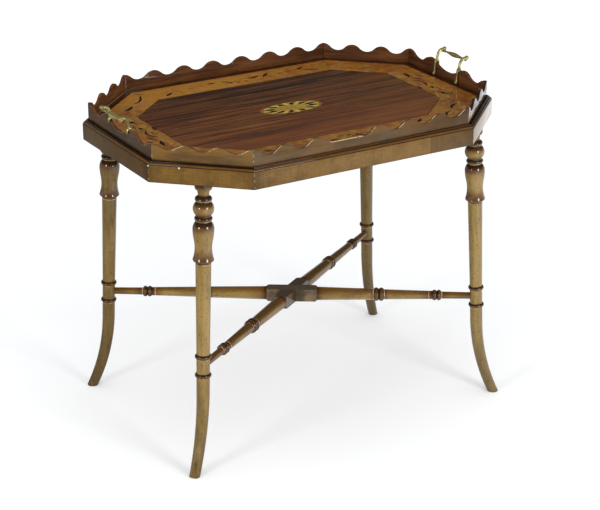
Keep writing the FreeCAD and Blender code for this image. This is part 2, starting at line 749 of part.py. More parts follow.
def add_fork(body, place):
    """The fork: an outer prong, a bridge over the gallery, a long inner prong and its ball."""
    thick = D["prong_thickness"]
    crotch = TRAY_FOOT + D["crotch_height"]
    ball_level = TRAY_FLOOR + D["ball_floor_gap"] + D["foot_ball_radius"]
    outer_foot = TRAY_FOOT + D["outer_prong_reach"]
    slope_foot = BRIDGE_TOP - D["bridge_thickness"] / 2
    fork = new_sketch(body, f"{body.Name}_fork", "YZ_Plane", place)
    outline(fork, [
        (OUTER_PRONG, outer_foot), (OUTER_PRONG, crotch), (INNER_PRONG, crotch),
        (INNER_PRONG, ball_level), (INNER_PRONG + thick, ball_level),
        (INNER_PRONG + thick, slope_foot), (EDGE_MIDDLE + D["arm_radius"], BRIDGE_TOP),
        (EDGE_MIDDLE - D["arm_radius"], BRIDGE_TOP), (OUTER_PRONG - thick, slope_foot),
        (OUTER_PRONG - thick, outer_foot)])
    pad(body, fork, D["post_width"], symmetric=True)
    ball(body, f"{body.Name}_foot_ball", "YZ_Plane", place,
         INNER_PRONG + D["foot_ball_radius"], ball_level, D["foot_ball_radius"])


def add_arm(body, place):
    """The round arm: up from the bridge, out by a quarter turn and up again to its scroll."""
    bend, curl = D["arm_bend"], D["curl_bend"]
    end_inset = GRIP_INSET - sine(D["curl_turn"]) * curl
    end_level = GRIP_LEVEL + (1 - cosine(D["curl_turn"])) * curl
    spine = new_sketch(body, f"{body.Name}_spine", "YZ_Plane", place)
    draw(spine, [(EDGE_MIDDLE, BRIDGE_TOP, Arc(bend, True)),
                 (GRIP_INSET, GRIP_LEVEL, Arc(curl, False)), (end_inset, end_level)],
         closed=False)
    section = new_sketch(body, f"{body.Name}_section", "XY_Plane", BRIDGE_TOP)
    circle(section, place, EDGE_MIDDLE, D["arm_radius"])
    pipe = body.newObject("PartDesign::AdditivePipe", f"{body.Name}_arm")
    pipe.Profile = section
    pipe.Spine = spine
    ball(body, f"{body.Name}_boss", "YZ_Plane", place, GRIP_INSET, GRIP_LEVEL,
         D["boss_radius"])
    ball(body, f"{body.Name}_scroll", "YZ_Plane", place, end_inset, end_level,
         D["scroll_radius"])


def make_grip(side):
    """The spindle between a pair of posts, swelling to its middle, with a peg at each end."""
    body = new_body(f"handle_grip_{side.name}", side.placement)
    offset = FreeCAD.Placement(
        FreeCAD.Vector(handle_middle(side).value, GRIP_INSET.value, GRIP_LEVEL.value),
        FreeCAD.Rotation())
    sketch = new_sketch(body, f"{body.Name}_profile", "XY_Plane", offset=offset)
    bind(sketch, "AttachmentOffset.Base.x", handle_middle(side))
    bind(sketch, "AttachmentOffset.Base.y", GRIP_INSET)
    bind(sketch, "AttachmentOffset.Base.z", GRIP_LEVEL)
    span = D["post_half_spacing"] - D["boss_radius"] - D["fit_gap"]
    neck = span - D["grip_collar_width"]
    swell = bead_radius(neck, D["grip_middle_radius"] - D["grip_end_radius"])
    tip = span + D["peg_length"]
    outline(sketch, [
        (tip, 0), (tip, D["peg_radius"]), (span, D["peg_radius"]),
        (span, D["grip_collar_radius"]), (neck, D["grip_collar_radius"]),
        (neck, D["grip_end_radius"], Arc(swell, True)), (-neck, D["grip_end_radius"]),
        (-neck, D["grip_collar_radius"]), (-span, D["grip_collar_radius"]),
        (-span, D["peg_radius"]), (-tip, D["peg_radius"]), (-tip, 0)])
    revolve(body, sketch, "H_Axis")
    return body


def make_pins():
    """Four pins, each through a fork and the gallery between its prongs."""
    reach = D["prong_thickness"] + D["pin_proud"]
    start = OUTER_PRONG - reach
    length = INNER_PRONG + reach - start
    pins = []
    for side in ENDS:
        for sign in (-1, 1):
            pin = DOC.addObject("Part::Cylinder", f"handle_pin_{side.name}")
            bind(pin, "Radius", D["pin_radius"])
            bind(pin, "Height", length)
            pin.Placement = side.placement.multiply(FreeCAD.Placement(
                FreeCAD.Vector((handle_middle(side) + D["post_half_spacing"] * sign).value,
                               start.value, PIN_LEVEL.value),
                FreeCAD.Rotation(FreeCAD.Vector(1, 0, 0), -90)))
            pins.append(pin)
    group = DOC.addObject("Part::Compound", "handle_pins")
    group.Links = pins
    PIECES.append(group)


# The turned legs.

LEG_HEAD = D["apron_bottom"]
LEAN_FALL = cosine(D["leg_splay"])
LEAN_DRIFT = sine(D["leg_splay"])
LEG_TO_RAIL = (LEG_HEAD - D["stretcher_level"]) / LEAN_FALL
LEG_TO_BEND = (LEG_HEAD - D["bend_start"]) / LEAN_FALL


def leg_head(side):
    """Where the leg's axis meets the underside of the apron, from the middle of the table."""
    half_x = D["top_length"].value / 2 - D["corner_cut_long"].value / 2
    half_y = D["top_depth"].value / 2 - D["corner_cut_short"].value / 2
    inset = D["leg_inset"].value / CANT.value
    x = half_x - D["corner_cut_short"].value * inset
    y = half_y - D["corner_cut_long"].value * inset
    right = 1 if side.name.endswith("right") else -1
    back = 1 if side.name.startswith("back") else -1
    return x * right, y * back


def diagonal(side):
    """Direction of a leg seen from above, in degrees from +X."""
    x, y = leg_head(side)
    return math.degrees(math.atan2(y, x))


def leg_placement(side):
    """A leg's frame: origin at its head, z up along its leaning axis, x outwards."""
    x, y = leg_head(side)
    turn = FreeCAD.Rotation(FreeCAD.Vector(0, 0, 1), diagonal(side))
    lean = FreeCAD.Rotation(FreeCAD.Vector(0, 1, 0), -D["leg_splay"].value)
    return FreeCAD.Placement(FreeCAD.Vector(x, y, LEG_HEAD.value), turn.multiply(lean))


def turned_bead(middle, half, crest, above, below):
    """A bead of a leg: up from radius above to its crest, and down to radius below."""
    return [(above, -(middle - half), Arc(bead_radius(half, crest - above), False)),
            (crest, -middle, Arc(bead_radius(half, crest - below), False)),
            (below, -(middle + half))]


def vase_nodes():
    """The vase: a shoulder, an ogee down to the waist and a flared lip over the shaft."""
    groove, shoulder, waist = D["groove_radius"], D["shoulder_radius"], D["waist_radius"]
    fall = D["waist"] - D["shoulder"]
    turn_depth = D["shoulder"] + fall * D["vase_turn"]
    turn_radius = shoulder - (shoulder - waist) * D["vase_turn"]
    lip, lip_foot = D["flare_radius"], D["flare_foot_radius"]
    return [
        (groove, -D["vase_top"],
         Arc(bead_radius(D["shoulder"] - D["vase_top"], shoulder - groove), False)),
        (shoulder, -D["shoulder"],
         Arc(bead_radius(turn_depth - D["shoulder"], shoulder - turn_radius), False)),
        (turn_radius, -turn_depth,
         Arc(bead_radius(D["waist"] - turn_depth, turn_radius - waist), True)),
        (waist, -D["waist"],
         Arc(bead_radius(D["flare"] - D["waist"], lip - waist), True)),
        (lip, -D["flare"],
         Arc(bead_radius(D["flare_foot"] - D["flare"], lip - lip_foot), False)),
        (lip_foot, -D["flare_foot"],
         Arc(bead_radius(D["shaft_top"] - D["flare_foot"], lip_foot - D["shaft_top_radius"]),
             True)),
        (D["shaft_top_radius"], -D["shaft_top"])]


def leg_profile():
    """Half section of a leg from its head down to the start of the foot's bend."""
    groove, ring = D["groove_radius"], D["ring_half"]
    shaft = D["shaft_foot_radius"]
    collar, neck = D["collar_radius"], D["neck_top_radius"]
    spare = D["collar_height"]
    nodes = [(0, spare), (collar, spare),
             (collar, -D["collar_height"],
              Arc(bead_radius(D["neck_top"] - D["collar_height"], collar - neck), False)),
             (neck, -D["neck_top"])]
    first_half = D["first_ring"] - D["neck_foot"]
    nodes += turned_bead(D["first_ring"], first_half, D["first_ring_radius"],
                         D["neck_foot_radius"], groove)
    nodes += turned_bead(D["ball"], D["ball_half"], D["ball_radius"], groove, groove)
    nodes += turned_bead(D["second_ring"], ring, D["second_ring_radius"], groove, groove)
    nodes += vase_nodes()
    for level in (LEG_TO_RAIL - D["node_ring_gap"], LEG_TO_RAIL + D["node_ring_gap"]):
        nodes += turned_bead(level, D["node_ring_half"], D["node_ring_radius"], shaft, shaft)
    nodes += [(shaft, -LEG_TO_BEND), (0, -LEG_TO_BEND)]
    return nodes


def leg_level_line(level, x):
    """Height in a leg's frame of a point at x that lies level above the head."""
    return (level - x * LEAN_DRIFT) / LEAN_FALL


def cut_level(body, name, level, above):
    """Cut a leg off along a level plane, keeping what lies on the other side of it."""
    reach = D["bend_radius"]
    beyond = D["leg_tenon_length"] * (2 if above else -2)
    sketch = new_sketch(body, name, "XZ_Plane")
    outline(sketch, [
        (-reach, leg_level_line(level, -reach)), (reach, leg_level_line(level, reach)),
        (reach, leg_level_line(level + beyond, reach)),
        (-reach, leg_level_line(level + beyond, -reach))])
    pocket(body, sketch, D["bend_radius"], symmetric=True)


def add_foot(body):
    """The foot: the leg bends outwards along an arc, tapers and stands flat on the floor."""
    bend = D["bend_radius"]
    past_floor = 4.0
    fall = D["bend_start"] + past_floor
    turn = arc_sine(fall / bend)
    spine = new_sketch(body, f"{body.Name}_foot_spine", "XZ_Plane")
    draw(spine, [(0, -LEG_TO_BEND, Arc(bend, True)),
                 (bend * (1 - cosine(turn)), -LEG_TO_BEND - bend * sine(turn))], closed=False)
    head = new_sketch(body, f"{body.Name}_foot_head", "XY_Plane", -LEG_TO_BEND)
    circle(head, 0, 0, D["shaft_foot_radius"])
    tip_place = FreeCAD.Placement(
        FreeCAD.Vector(bend.value * (1 - cosine(turn).value), 0,
                       -LEG_TO_BEND.value - bend.value * sine(turn).value),
        FreeCAD.Rotation(FreeCAD.Vector(0, 1, 0), -turn.value))
    tip = new_sketch(body, f"{body.Name}_foot_tip", "XY_Plane", offset=tip_place)
    circle(tip, 0, 0, D["foot_radius"])
    pipe = body.newObject("PartDesign::AdditivePipe", f"{body.Name}_foot")
    pipe.Profile = head
    pipe.Spine = spine
    pipe.Transformation = "Multisection"
    pipe.Sections = [(tip, [""])]


def round_foot(body, feature):
    """Round the edge on which the leg stands."""
    DOC.recompute()
    lowest = min(feature.Shape.Edges, key=lambda edge: floor_height(body, edge))
    number = [edge.isSame(lowest) for edge in feature.Shape.Edges].index(True) + 1
    fillet = body.newObject("PartDesign::Fillet", f"{body.Name}_foot_round")
    fillet.Base = (feature, [f"Edge{number}"])
    bind(fillet, "Radius", D["foot_round"])


def floor_height(body, edge):
    placed = edge.copy()
    placed.Placement = body.Placement.multiply(placed.Placement)
    return placed.BoundBox.ZMax


def make_leg(side):
    """A turned leg: tenon, collar, ball and vase, shaft with two rings, and a bent foot."""
    body = new_body(f"leg_{side.name}", leg_placement(side))
    profile = new_sketch(body, f"{body.Name}_profile", "XZ_Plane")
    outline(profile, leg_profile())
    revolve(body, profile, "V_Axis")
    cut_level(body, f"{body.Name}_shoulder", Size.of(0), above=True)
    tenon = new_sketch(body, f"{body.Name}_tenon", "XY_Plane", -D["collar_height"])
    circle(tenon, 0, 0, D["leg_tenon_radius"])
    pad(body, tenon, D["leg_tenon_length"] + D["collar_height"])
    mortise_leg(body)
    add_foot(body)
    cut_level(body, f"{body.Name}_sole", -LEG_HEAD, above=False)
    round_foot(body, body.Tip)
    return body


def mortise_leg(body):
    """A level hole from the inner side, past the leg's axis, for the end of a rail."""
    end = D["rail_reach"] + D["glue_gap"]
    level = FreeCAD.Rotation(FreeCAD.Vector(0, 1, 0), 90 + D["leg_splay"].value)
    along = level.multVec(FreeCAD.Vector(0, 0, 1))
    centre = FreeCAD.Vector(0, 0, -LEG_TO_RAIL.value) + along * end.value
    sketch = new_sketch(body, f"{body.Name}_mortise", "XY_Plane",
                        offset=FreeCAD.Placement(centre, level))
    circle(sketch, 0, 0, D["rail_end_radius"] + D["glue_gap"])
    pocket(body, sketch)


# The crossed stretcher.

SHORT_X = D["top_length"] / 2 - D["corner_cut_long"] / 2 \
    - D["corner_cut_short"] * D["leg_inset"] / CANT
SHORT_Y = D["top_depth"] / 2 - D["corner_cut_short"] / 2 \
    - D["corner_cut_long"] * D["leg_inset"] / CANT
RAIL_HALF = root(SHORT_X * SHORT_X + SHORT_Y * SHORT_Y) \
    + (LEG_HEAD - D["stretcher_level"]) * tangent(D["leg_splay"]) + D["rail_reach"]


def double_bead(middle, half, crest, before, after):
    """Two beads side by side on a rail, with a groove between them."""
    groove = (before + after) / 2
    rises = [(middle - half * 2, before), (middle - half, crest), (middle, groove),
             (middle + half, crest), (middle + half * 2, after)]
    nodes = []
    for (x, radius), (next_x, next_radius) in zip(rises, rises[1:]):
        rise = crest - (radius if next_radius is crest else next_radius)
        nodes.append((x, radius, Arc(bead_radius(half, rise), False)))
    return nodes + [rises[-1]]


def half_rail():
    """Upper half section of a rail from the middle of its block to its end."""
    block, corner = D["block_length"] / 2, D["block_side"] * 0.75
    nodes = [(0, corner), (block - D["block_bevel"], corner), (block, D["rail_root_radius"])]
    nodes += double_bead(D["inner_ring"], D["inner_bead_half"], D["inner_ring_radius"],
                         D["rail_inner_radius"], D["rail_middle_radius"])
    nodes += double_bead(D["outer_ring"], D["outer_bead_half"], D["outer_ring_radius"],
                         D["rail_outer_radius"], D["rail_tail_radius"])
    in_leg = D["rail_reach"] + D["shaft_foot_radius"] + 1
    nodes += [(RAIL_HALF - in_leg, D["rail_end_radius"]),
              (RAIL_HALF, D["rail_end_radius"]), (RAIL_HALF, 0)]
    return nodes


def mirrored(nodes):
    """The same nodes on the other side of the middle, in the opposite order."""
    copy = []
    for index in range(len(nodes) - 1, 0, -1):
        x, y = nodes[index][0], nodes[index][1]
        arc = nodes[index - 1][2:]
        copy.append((-Size.of(x), y) + arc)
    return copy


def make_rail(name, side, cross_side, upper):
    """A stretcher rail: turned arms from a square block, halved where the two cross."""
    turn = diagonal(side)
    body = new_body(name, FreeCAD.Placement(
        FreeCAD.Vector(0, 0, D["stretcher_level"].value),
        FreeCAD.Rotation(FreeCAD.Vector(0, 0, 1), turn)))
    profile = new_sketch(body, f"{name}_profile", "XZ_Plane")
    right = half_rail()
    outline(profile, right + mirrored(right))
    revolve(body, profile, "H_Axis")
    square_block(body)
    cut_lap(body, diagonal(cross_side) - turn, upper)
    return body


def square_block(body):
    """Plane the four sides of the block flat, leaving its turned bevels."""
    half, outside = D["block_side"] / 2, D["block_side"]
    sketch = new_sketch(body, f"{body.Name}_block", "YZ_Plane")
    for corner in (outside, half):
        outline(sketch, [(-corner, -corner), (corner, -corner),
                         (corner, corner), (-corner, corner)])
    pocket(body, sketch, D["block_length"], symmetric=True)


def cut_lap(body, crossing, upper):
    """Cut away the upper or lower half of the block where the other rail passes."""
    place = FreeCAD.Placement(FreeCAD.Vector(), FreeCAD.Rotation(
        FreeCAD.Vector(0, 0, 1), crossing))
    sketch = new_sketch(body, f"{body.Name}_lap", "XY_Plane", offset=place)
    half = D["block_side"] / 2 + D["lap_gap"]
    reach = D["block_side"] * 2
    outline(sketch, [(-reach, -half), (reach, -half), (reach, half), (-reach, half)])
    if upper:
        bind(sketch, "AttachmentOffset.Base.z", -D["lap_gap"] / 2)
    else:
        bind(sketch, "AttachmentOffset.Base.z", D["lap_gap"] / 2)
    pocket(body, sketch, backwards=upper)


# Checks and export.

def check_pieces():
    DOC.recompute()
    faults = []
    for item in DOC.Objects:
        if "Invalid" in item.State or "Error" in item.State:
            faults.append(f"{item.Name}: {item.State}")
    for piece in PIECES:
        shape = piece.Shape
        if shape.isNull() or not shape.isValid() or not shape.Solids:
            faults.append(f"{piece.Label}: no valid solid")
    if faults:
        raise RuntimeError("; ".join(faults))


def export_pieces():
    os.makedirs("parts", exist_ok=True)
    for piece in PIECES:
        piece.Shape.exportStep(os.path.join("parts", f"{piece.Label}.step"))
        print(f"{piece.Label}: {len(piece.Shape.Solids)} solid, "
              f"{piece.Shape.Volume / 1000:.1f} cm3")


for each_side in SIDES:
    make_apron(each_side)
    make_rim(each_side)
    make_gallery(each_side)
make_bearer("bearer_left", -1)
make_bearer("bearer_right", 1)
make_tray_surface()
for each_side in ENDS:
    make_post(each_side, -1)
    make_post(each_side, 1)
    make_grip(each_side)
make_pins()
for each_side in CANTED:
    make_leg(each_side)
FRONT_LEFT, FRONT_RIGHT, BACK_RIGHT, BACK_LEFT = CANTED
make_rail("stretcher_rail_a", BACK_RIGHT, BACK_LEFT, upper=True)
make_rail("stretcher_rail_b", BACK_LEFT, BACK_RIGHT, upper=False)
check_pieces()
export_pieces()
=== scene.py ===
"""Dresses a tray top tea table: a turned stand with a moulded rim, and an inlaid tray.

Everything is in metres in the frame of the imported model: +X along the long side, +Y to the
back, +Z up, with the origin on the floor under the middle of the table.
"""
import json
import logging
import math
from collections.abc import Callable
from dataclasses import dataclass, field, replace
from enum import Enum
from functools import partial, reduce

import bmesh
import bpy
from mathutils import Euler, Matrix, Vector

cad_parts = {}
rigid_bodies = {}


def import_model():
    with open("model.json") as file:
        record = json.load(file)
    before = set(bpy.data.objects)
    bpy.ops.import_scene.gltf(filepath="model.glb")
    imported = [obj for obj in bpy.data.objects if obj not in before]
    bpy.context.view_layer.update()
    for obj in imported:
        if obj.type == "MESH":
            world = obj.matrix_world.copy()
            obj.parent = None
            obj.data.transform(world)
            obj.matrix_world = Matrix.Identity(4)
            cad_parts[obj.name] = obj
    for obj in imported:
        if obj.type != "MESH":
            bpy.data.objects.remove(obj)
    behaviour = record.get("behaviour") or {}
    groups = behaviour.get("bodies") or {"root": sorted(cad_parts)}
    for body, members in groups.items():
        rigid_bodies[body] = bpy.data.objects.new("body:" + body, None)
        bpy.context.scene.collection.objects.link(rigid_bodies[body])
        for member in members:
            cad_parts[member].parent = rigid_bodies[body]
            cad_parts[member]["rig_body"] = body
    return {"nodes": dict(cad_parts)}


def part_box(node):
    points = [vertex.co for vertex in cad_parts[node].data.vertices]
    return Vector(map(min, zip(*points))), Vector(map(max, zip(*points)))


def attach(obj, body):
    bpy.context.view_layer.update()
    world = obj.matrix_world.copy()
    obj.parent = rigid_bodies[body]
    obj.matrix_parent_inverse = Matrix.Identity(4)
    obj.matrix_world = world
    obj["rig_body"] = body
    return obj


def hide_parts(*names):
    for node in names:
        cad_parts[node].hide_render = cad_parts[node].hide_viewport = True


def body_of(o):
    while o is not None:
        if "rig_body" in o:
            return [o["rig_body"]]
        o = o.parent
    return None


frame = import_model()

LOG = logging.getLogger("tea_table")
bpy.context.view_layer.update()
MM = 0.001
Colour = tuple[float, float, float, float]
Triple = tuple[float, float, float]
Socket = bpy.types.NodeSocket
Sockets = bpy.types.bpy_prop_collection
Tree = bpy.types.NodeTree
Value = Socket | float | Colour | Triple | Vector
WHITE: Colour = (1.0, 1.0, 1.0, 1.0)
BLACK: Colour = (0.0, 0.0, 0.0, 1.0)


def colour(code: str) -> Colour:
    """Linear colour by the curve of sRGB.

    Args:
        code: six hexadecimal digits of the colour as a screen shows it.

    Returns:
        Its linear red, green and blue, and 1 for its alpha.
    """
    channels = []
    for start in (0, 2, 4):
        value = int(code[start:start + 2], 16) / 255
        channels.append(value / 12.92 if value <= 0.04045 else ((value + 0.055) / 1.055) ** 2.4)
    return (*channels, 1.0)


# The octagon of the table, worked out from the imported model.

@dataclass(frozen=True)
class Place:
    """A frame of a piece's own: its origin and its turn, in the table's frame."""

    origin: Triple = (0.0, 0.0, 0.0)
    turn: Triple = (0.0, 0.0, 0.0)

    def matrix(self) -> Matrix:
        """The matrix that takes the frame's points to the table's frame."""
        return Matrix.Translation(self.origin) @ Euler(self.turn).to_matrix().to_4x4()


@dataclass(frozen=True)
class Side:
    """One side of the octagon, with a frame of its own: x along it, y inwards, z up."""

    name: str
    place: Place
    half: float
    ends: tuple[float, float]


def octagon_sides() -> dict[str, Side]:
    """The eight sides of the apron by name.

    Returns:
        Each side with its frame, half its length, and how fast its ends draw in with depth.
    """
    half_x, half_short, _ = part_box("apron_right")[1]
    half_long, half_y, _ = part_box("apron_back")[1]
    cut_x, cut_y = half_x - half_long, half_y - half_short
    mid_x, mid_y = half_x - cut_x / 2, half_y - cut_y / 2
    cant, half_cant = math.atan2(cut_y, cut_x), math.hypot(cut_x, cut_y) / 2
    at_long, at_short = math.tan(cant / 2), math.tan((math.pi / 2 - cant) / 2)
    rows = (
        ("front", 0.0, (0.0, -half_y), half_long, (at_long, at_long)),
        ("back", math.pi, (0.0, half_y), half_long, (at_long, at_long)),
        ("left", -math.pi / 2, (-half_x, 0.0), half_short, (at_short, at_short)),
        ("right", math.pi / 2, (half_x, 0.0), half_short, (at_short, at_short)),
        ("front_left", -cant, (-mid_x, -mid_y), half_cant, (at_short, at_long)),
        ("front_right", cant, (mid_x, -mid_y), half_cant, (at_long, at_short)),
        ("back_right", math.pi - cant, (mid_x, mid_y), half_cant, (at_short, at_long)),
        ("back_left", cant - math.pi, (-mid_x, mid_y), half_cant, (at_long, at_short)),
    )
    return {name: Side(name, Place((*middle, 0.0), (0.0, 0.0, turn)), half, ends)
            for name, turn, middle, half, ends in rows}


SIDES = octagon_sides()
STRAIGHT = ("front", "back", "left", "right")
CANTED = ("front_left", "front_right", "back_right", "back_left")
TABLE = Place()
TRAY_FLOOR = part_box("field_veneer")[1].z
APRON_FOOT, APRON_TOP = (corner.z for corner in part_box("apron_front"))


# Node trees.

class Graph:
    """A node tree with short calls to add nodes and join them."""

    MIX_INPUTS = (0, 6, 7)
    MIX_RESULT = 2

    def __init__(self, tree: Tree) -> None:
        """Wrap the node tree of a material, a world or a group."""
        self.tree = tree

    def add(self, kind: str, **settings) -> bpy.types.Node:
        """Add a node.

        Args:
            kind: the node's type without its ShaderNode prefix.
            settings: properties of the node.

        Returns:
            The new node.
        """
        node = self.tree.nodes.new(f"ShaderNode{kind}")
        for key, value in settings.items():
            setattr(node, key, value)
        return node

    def feed(self, socket: Socket, value: Value) -> None:
        """Give a socket a value, or link it to another socket.

        Args:
            socket: the input.
            value: its value, or the output that it reads.
        """
        if isinstance(value, Socket):
            self.tree.links.new(value, socket)
        else:
            socket.default_value = value

    def fill(self, node: bpy.types.Node, *values: Value) -> Sockets:
        """Feed a node's first inputs in their order.

        Args:
            node: the node.
            values: the inputs' values, or the outputs that they read.

        Returns:
            The node's outputs.
        """
        for socket, value in zip(node.inputs, values):
            self.feed(socket, value)
        return node.outputs

    def math(self, operation: str, *values: Value, clamp: bool = False) -> Socket:
        """The value of a Math node, kept from 0 to 1 on request."""
        return self.fill(self.add("Math", operation=operation, use_clamp=clamp), *values)[0]

    def times(self, first: Value, *factors: Value) -> Socket:
        """The product of two or more values."""
        return reduce(partial(self.math, "MULTIPLY"), factors, first)

    def plus(self, first: Value, second: Value) -> Socket:
        """The sum of two values."""
        return self.math("ADD", first, second)

    def minus(self, first: Value, second: Value) -> Socket:
        """A value less another."""
        return self.math("SUBTRACT", first, second)

    def top(self, first: Value, second: Value) -> Socket:
        """The larger of two values."""
        return self.math("MAXIMUM", first, second)

    def size(self, value: Value) -> Socket:
        """A value without its sign."""
        return self.math("ABSOLUTE", value)

    def length(self, across: Value, up: Value) -> Socket:
        """The length of a flat step."""
        return self.math("SQRT", self.plus(self.times(across, across), self.times(up, up)))

    def choose(self, switch: Value, first: Value, second: Value) -> Socket:
        """The first value where a switch is 0, and the second where it is 1."""
        return self.plus(self.times(self.minus(1.0, switch), first), self.times(switch, second))

    def span(self, value: Value, low: float, high: float, start: float = 0.0,
             end: float = 1.0) -> Socket:
        """A value mapped smoothly from low and high to start and end."""
        node = self.add("MapRange", interpolation_type="SMOOTHSTEP")
        return self.fill(node, value, low, high, start, end)[0]

    def line(self, value: Value, middle: float, core: float, reach: float,
             strength: float = 1.0) -> Socket:
        """A mask of a line: at its strength within a core of its middle, gone past its reach."""
        return self.span(self.size(self.minus(value, middle)), core, reach, strength, 0.0)

    def vector(self, operation: str, *values: Value) -> Sockets:
        """The outputs of a Vector Math node."""
        return self.fill(self.add("VectorMath", operation=operation), *values)

    def parts(self, vector: Value) -> Sockets:
        """The three parts of a vector."""
        return self.fill(self.add("SeparateXYZ"), vector)

    def combine(self, x: Value, y: Value, z: Value = 0.0) -> Socket:
        """A vector of three parts."""
        return self.fill(self.add("CombineXYZ"), x, y, z)[0]

    def spot(self) -> Socket:
        """The point in the table's frame."""
        return self.add("TexCoord").outputs["Object"]

    def normal(self) -> Socket:
        """The surface's normal."""
        return self.add("NewGeometry").outputs["Normal"]

    def mapped(self, vector: Value, scale: Triple = (1.0, 1.0, 1.0),
               offset: Triple = (0.0, 0.0, 0.0), turn: Triple = (0.0, 0.0, 0.0),
               kind: str = "POINT") -> Socket:
        """A vector scaled, turned and moved, or, with a kind of TEXTURE, taken back."""
        return self.fill(self.add("Mapping", vector_type=kind), vector, offset, turn, scale)[0]

    def noise(self, vector: Value, scale: float, detail: float = 3.0, roughness: float = 0.5,
              distortion: Value = 0.0) -> Socket:
        """The value of a noise texture.

        Args:
            vector: where the noise is read.
            scale: its lumps to a metre, roughly.
            detail: how many finer noises are added.
            roughness: how much the finer noises count.
            distortion: how much it swirls.

        Returns:
            The value's socket.
        """
        node = self.add("TexNoise")
        for label, value in (("Vector", vector), ("Scale", scale), ("Detail", detail),
                             ("Roughness", roughness), ("Distortion", distortion)):
            self.feed(node.inputs[label], value)
        return node.outputs[0]

    def patches(self, vector: Value, scale: float, low: float, high: float, start: float = 0.0,
                end: float = 1.0, detail: float = 3.0, roughness: float = 0.5) -> Socket:
        """A mask of soft patches.

        Args:
            vector: where the noise is read.
            scale: patches to a metre, roughly.
            low: the noise's value where the mask starts.
            high: the noise's value where the mask ends.
            start: the mask below low.
            end: the mask above high.
            detail: how many finer noises are added.
            roughness: how much the finer noises count.

        Returns:
            The mask's socket.
        """
        return self.span(self.noise(vector, scale, detail, roughness), low, high, start, end)

    def mix(self, factor: Value, first: Value, second: Value) -> Socket:
        """A colour with the given share of a second colour in it.

        Args:
            factor: the second colour's share.
            first: the first colour.
            second: the second colour.

        Returns:
            The mixed colour's socket.
        """
        node = self.add("Mix", data_type="RGBA")
        for index, value in zip(self.MIX_INPUTS, (factor, first, second)):
            self.feed(node.inputs[index], value)
        return node.outputs[self.MIX_RESULT]

    def paint(self, shade: Value, *coats: tuple[Value, str]) -> Socket:
        """Lay coats over a colour, one after another.

        Args:
            shade: the colour underneath.
            coats: each coat's mask and its colour's digits.

        Returns:
            The painted colour's socket.
        """
        for mask, code in coats:
            shade = self.mix(mask, shade, colour(code))
        return shade

    def ramp(self, value: Value, stops: list[tuple[float, Colour]]) -> Socket:
        """A colour looked up in a ramp of places and colours.

        Args:
            value: the place that is looked up.
            stops: the ramp's places and colours.

        Returns:
            The colour's socket.
        """
        node = self.add("ValToRGB")
        elements = node.color_ramp.elements
        for element, (place, shade) in zip((elements[0], elements[-1]), (stops[0], stops[-1])):
            element.position = place
            element.color = shade
        for place, shade in stops[1:-1]:
            elements.new(place).color = shade
        return self.fill(node, value)[0]

    def group(self, tree: Tree, vector: Value, **inputs: float) -> Sockets:
        """Place a shader group.

        Args:
            tree: the group's tree.
            vector: what its Vector input reads.
            inputs: values of its other inputs by name.

        Returns:
            The outputs of the group's node.
        """
        node = self.add("Group", node_tree=tree)
        self.feed(node.inputs["Vector"], vector)
        for label, value in inputs.items():
            node.inputs[label].default_value = value
        return node.outputs


def new_group(name: str, numbers: dict[str, float],
              results: tuple[str, ...]) -> tuple[Graph, Sockets, Sockets]:
    """Start a shader group that reads a vector and numbers.

    Args:
        name: the group's name.
        numbers: the default of each input beside Vector.
        results: the names of the outputs.

    Returns:
        Its graph, the sockets that bring the inputs in and those that take the outputs out.
    """
    tree = bpy.data.node_groups.new(name, "ShaderNodeTree")
    sockets = tree.interface
    sockets.new_socket("Vector", in_out="INPUT", socket_type="NodeSocketVector")
    for label, default in numbers.items():
        socket = sockets.new_socket(label, in_out="INPUT", socket_type="NodeSocketFloat")
        socket.default_value = default
    for label in results:
        sockets.new_socket(label, in_out="OUTPUT", socket_type="NodeSocketFloat")
    entry, leave = (tree.nodes.new(f"NodeGroup{end}") for end in ("Input", "Output"))
    return Graph(tree), entry.outputs, leave.inputs


def grain_group() -> Tree:
    """Figure of a sawn and polished board whose grain runs along the vector's x.

    Returns:
        The group's tree.
    """
    graph, into, out = new_group(
        "Board grain", {"Length": 4.0, "Width": 90.0, "Curl": 0.4, "Bend": 0.02},
        ("Streaks", "Pores", "Clouds"))
    wander = graph.minus(graph.noise(into["Vector"], 9.0, 2.0), 0.5)
    bend = graph.times(wander, into["Bend"])
    moved = graph.vector("ADD", into["Vector"], graph.combine(0.0, bend, bend))[0]
    sizes = graph.combine(into["Length"], into["Width"], into["Width"])
    board = graph.vector("MULTIPLY", moved, sizes)[0]
    broad = graph.noise(board, 1.0, 5.0, 0.62, into["Curl"])
    graph.feed(out["Streaks"], graph.span(broad, 0.32, 0.68))
    graph.feed(out["Pores"], graph.patches(
        graph.mapped(board, (7.0, 9.0, 9.0)), 1.0, 0.60, 0.72, detail=2.0))
    graph.feed(out["Clouds"], graph.patches(into["Vector"], 7.0, 0.3, 0.7))
    return graph.tree


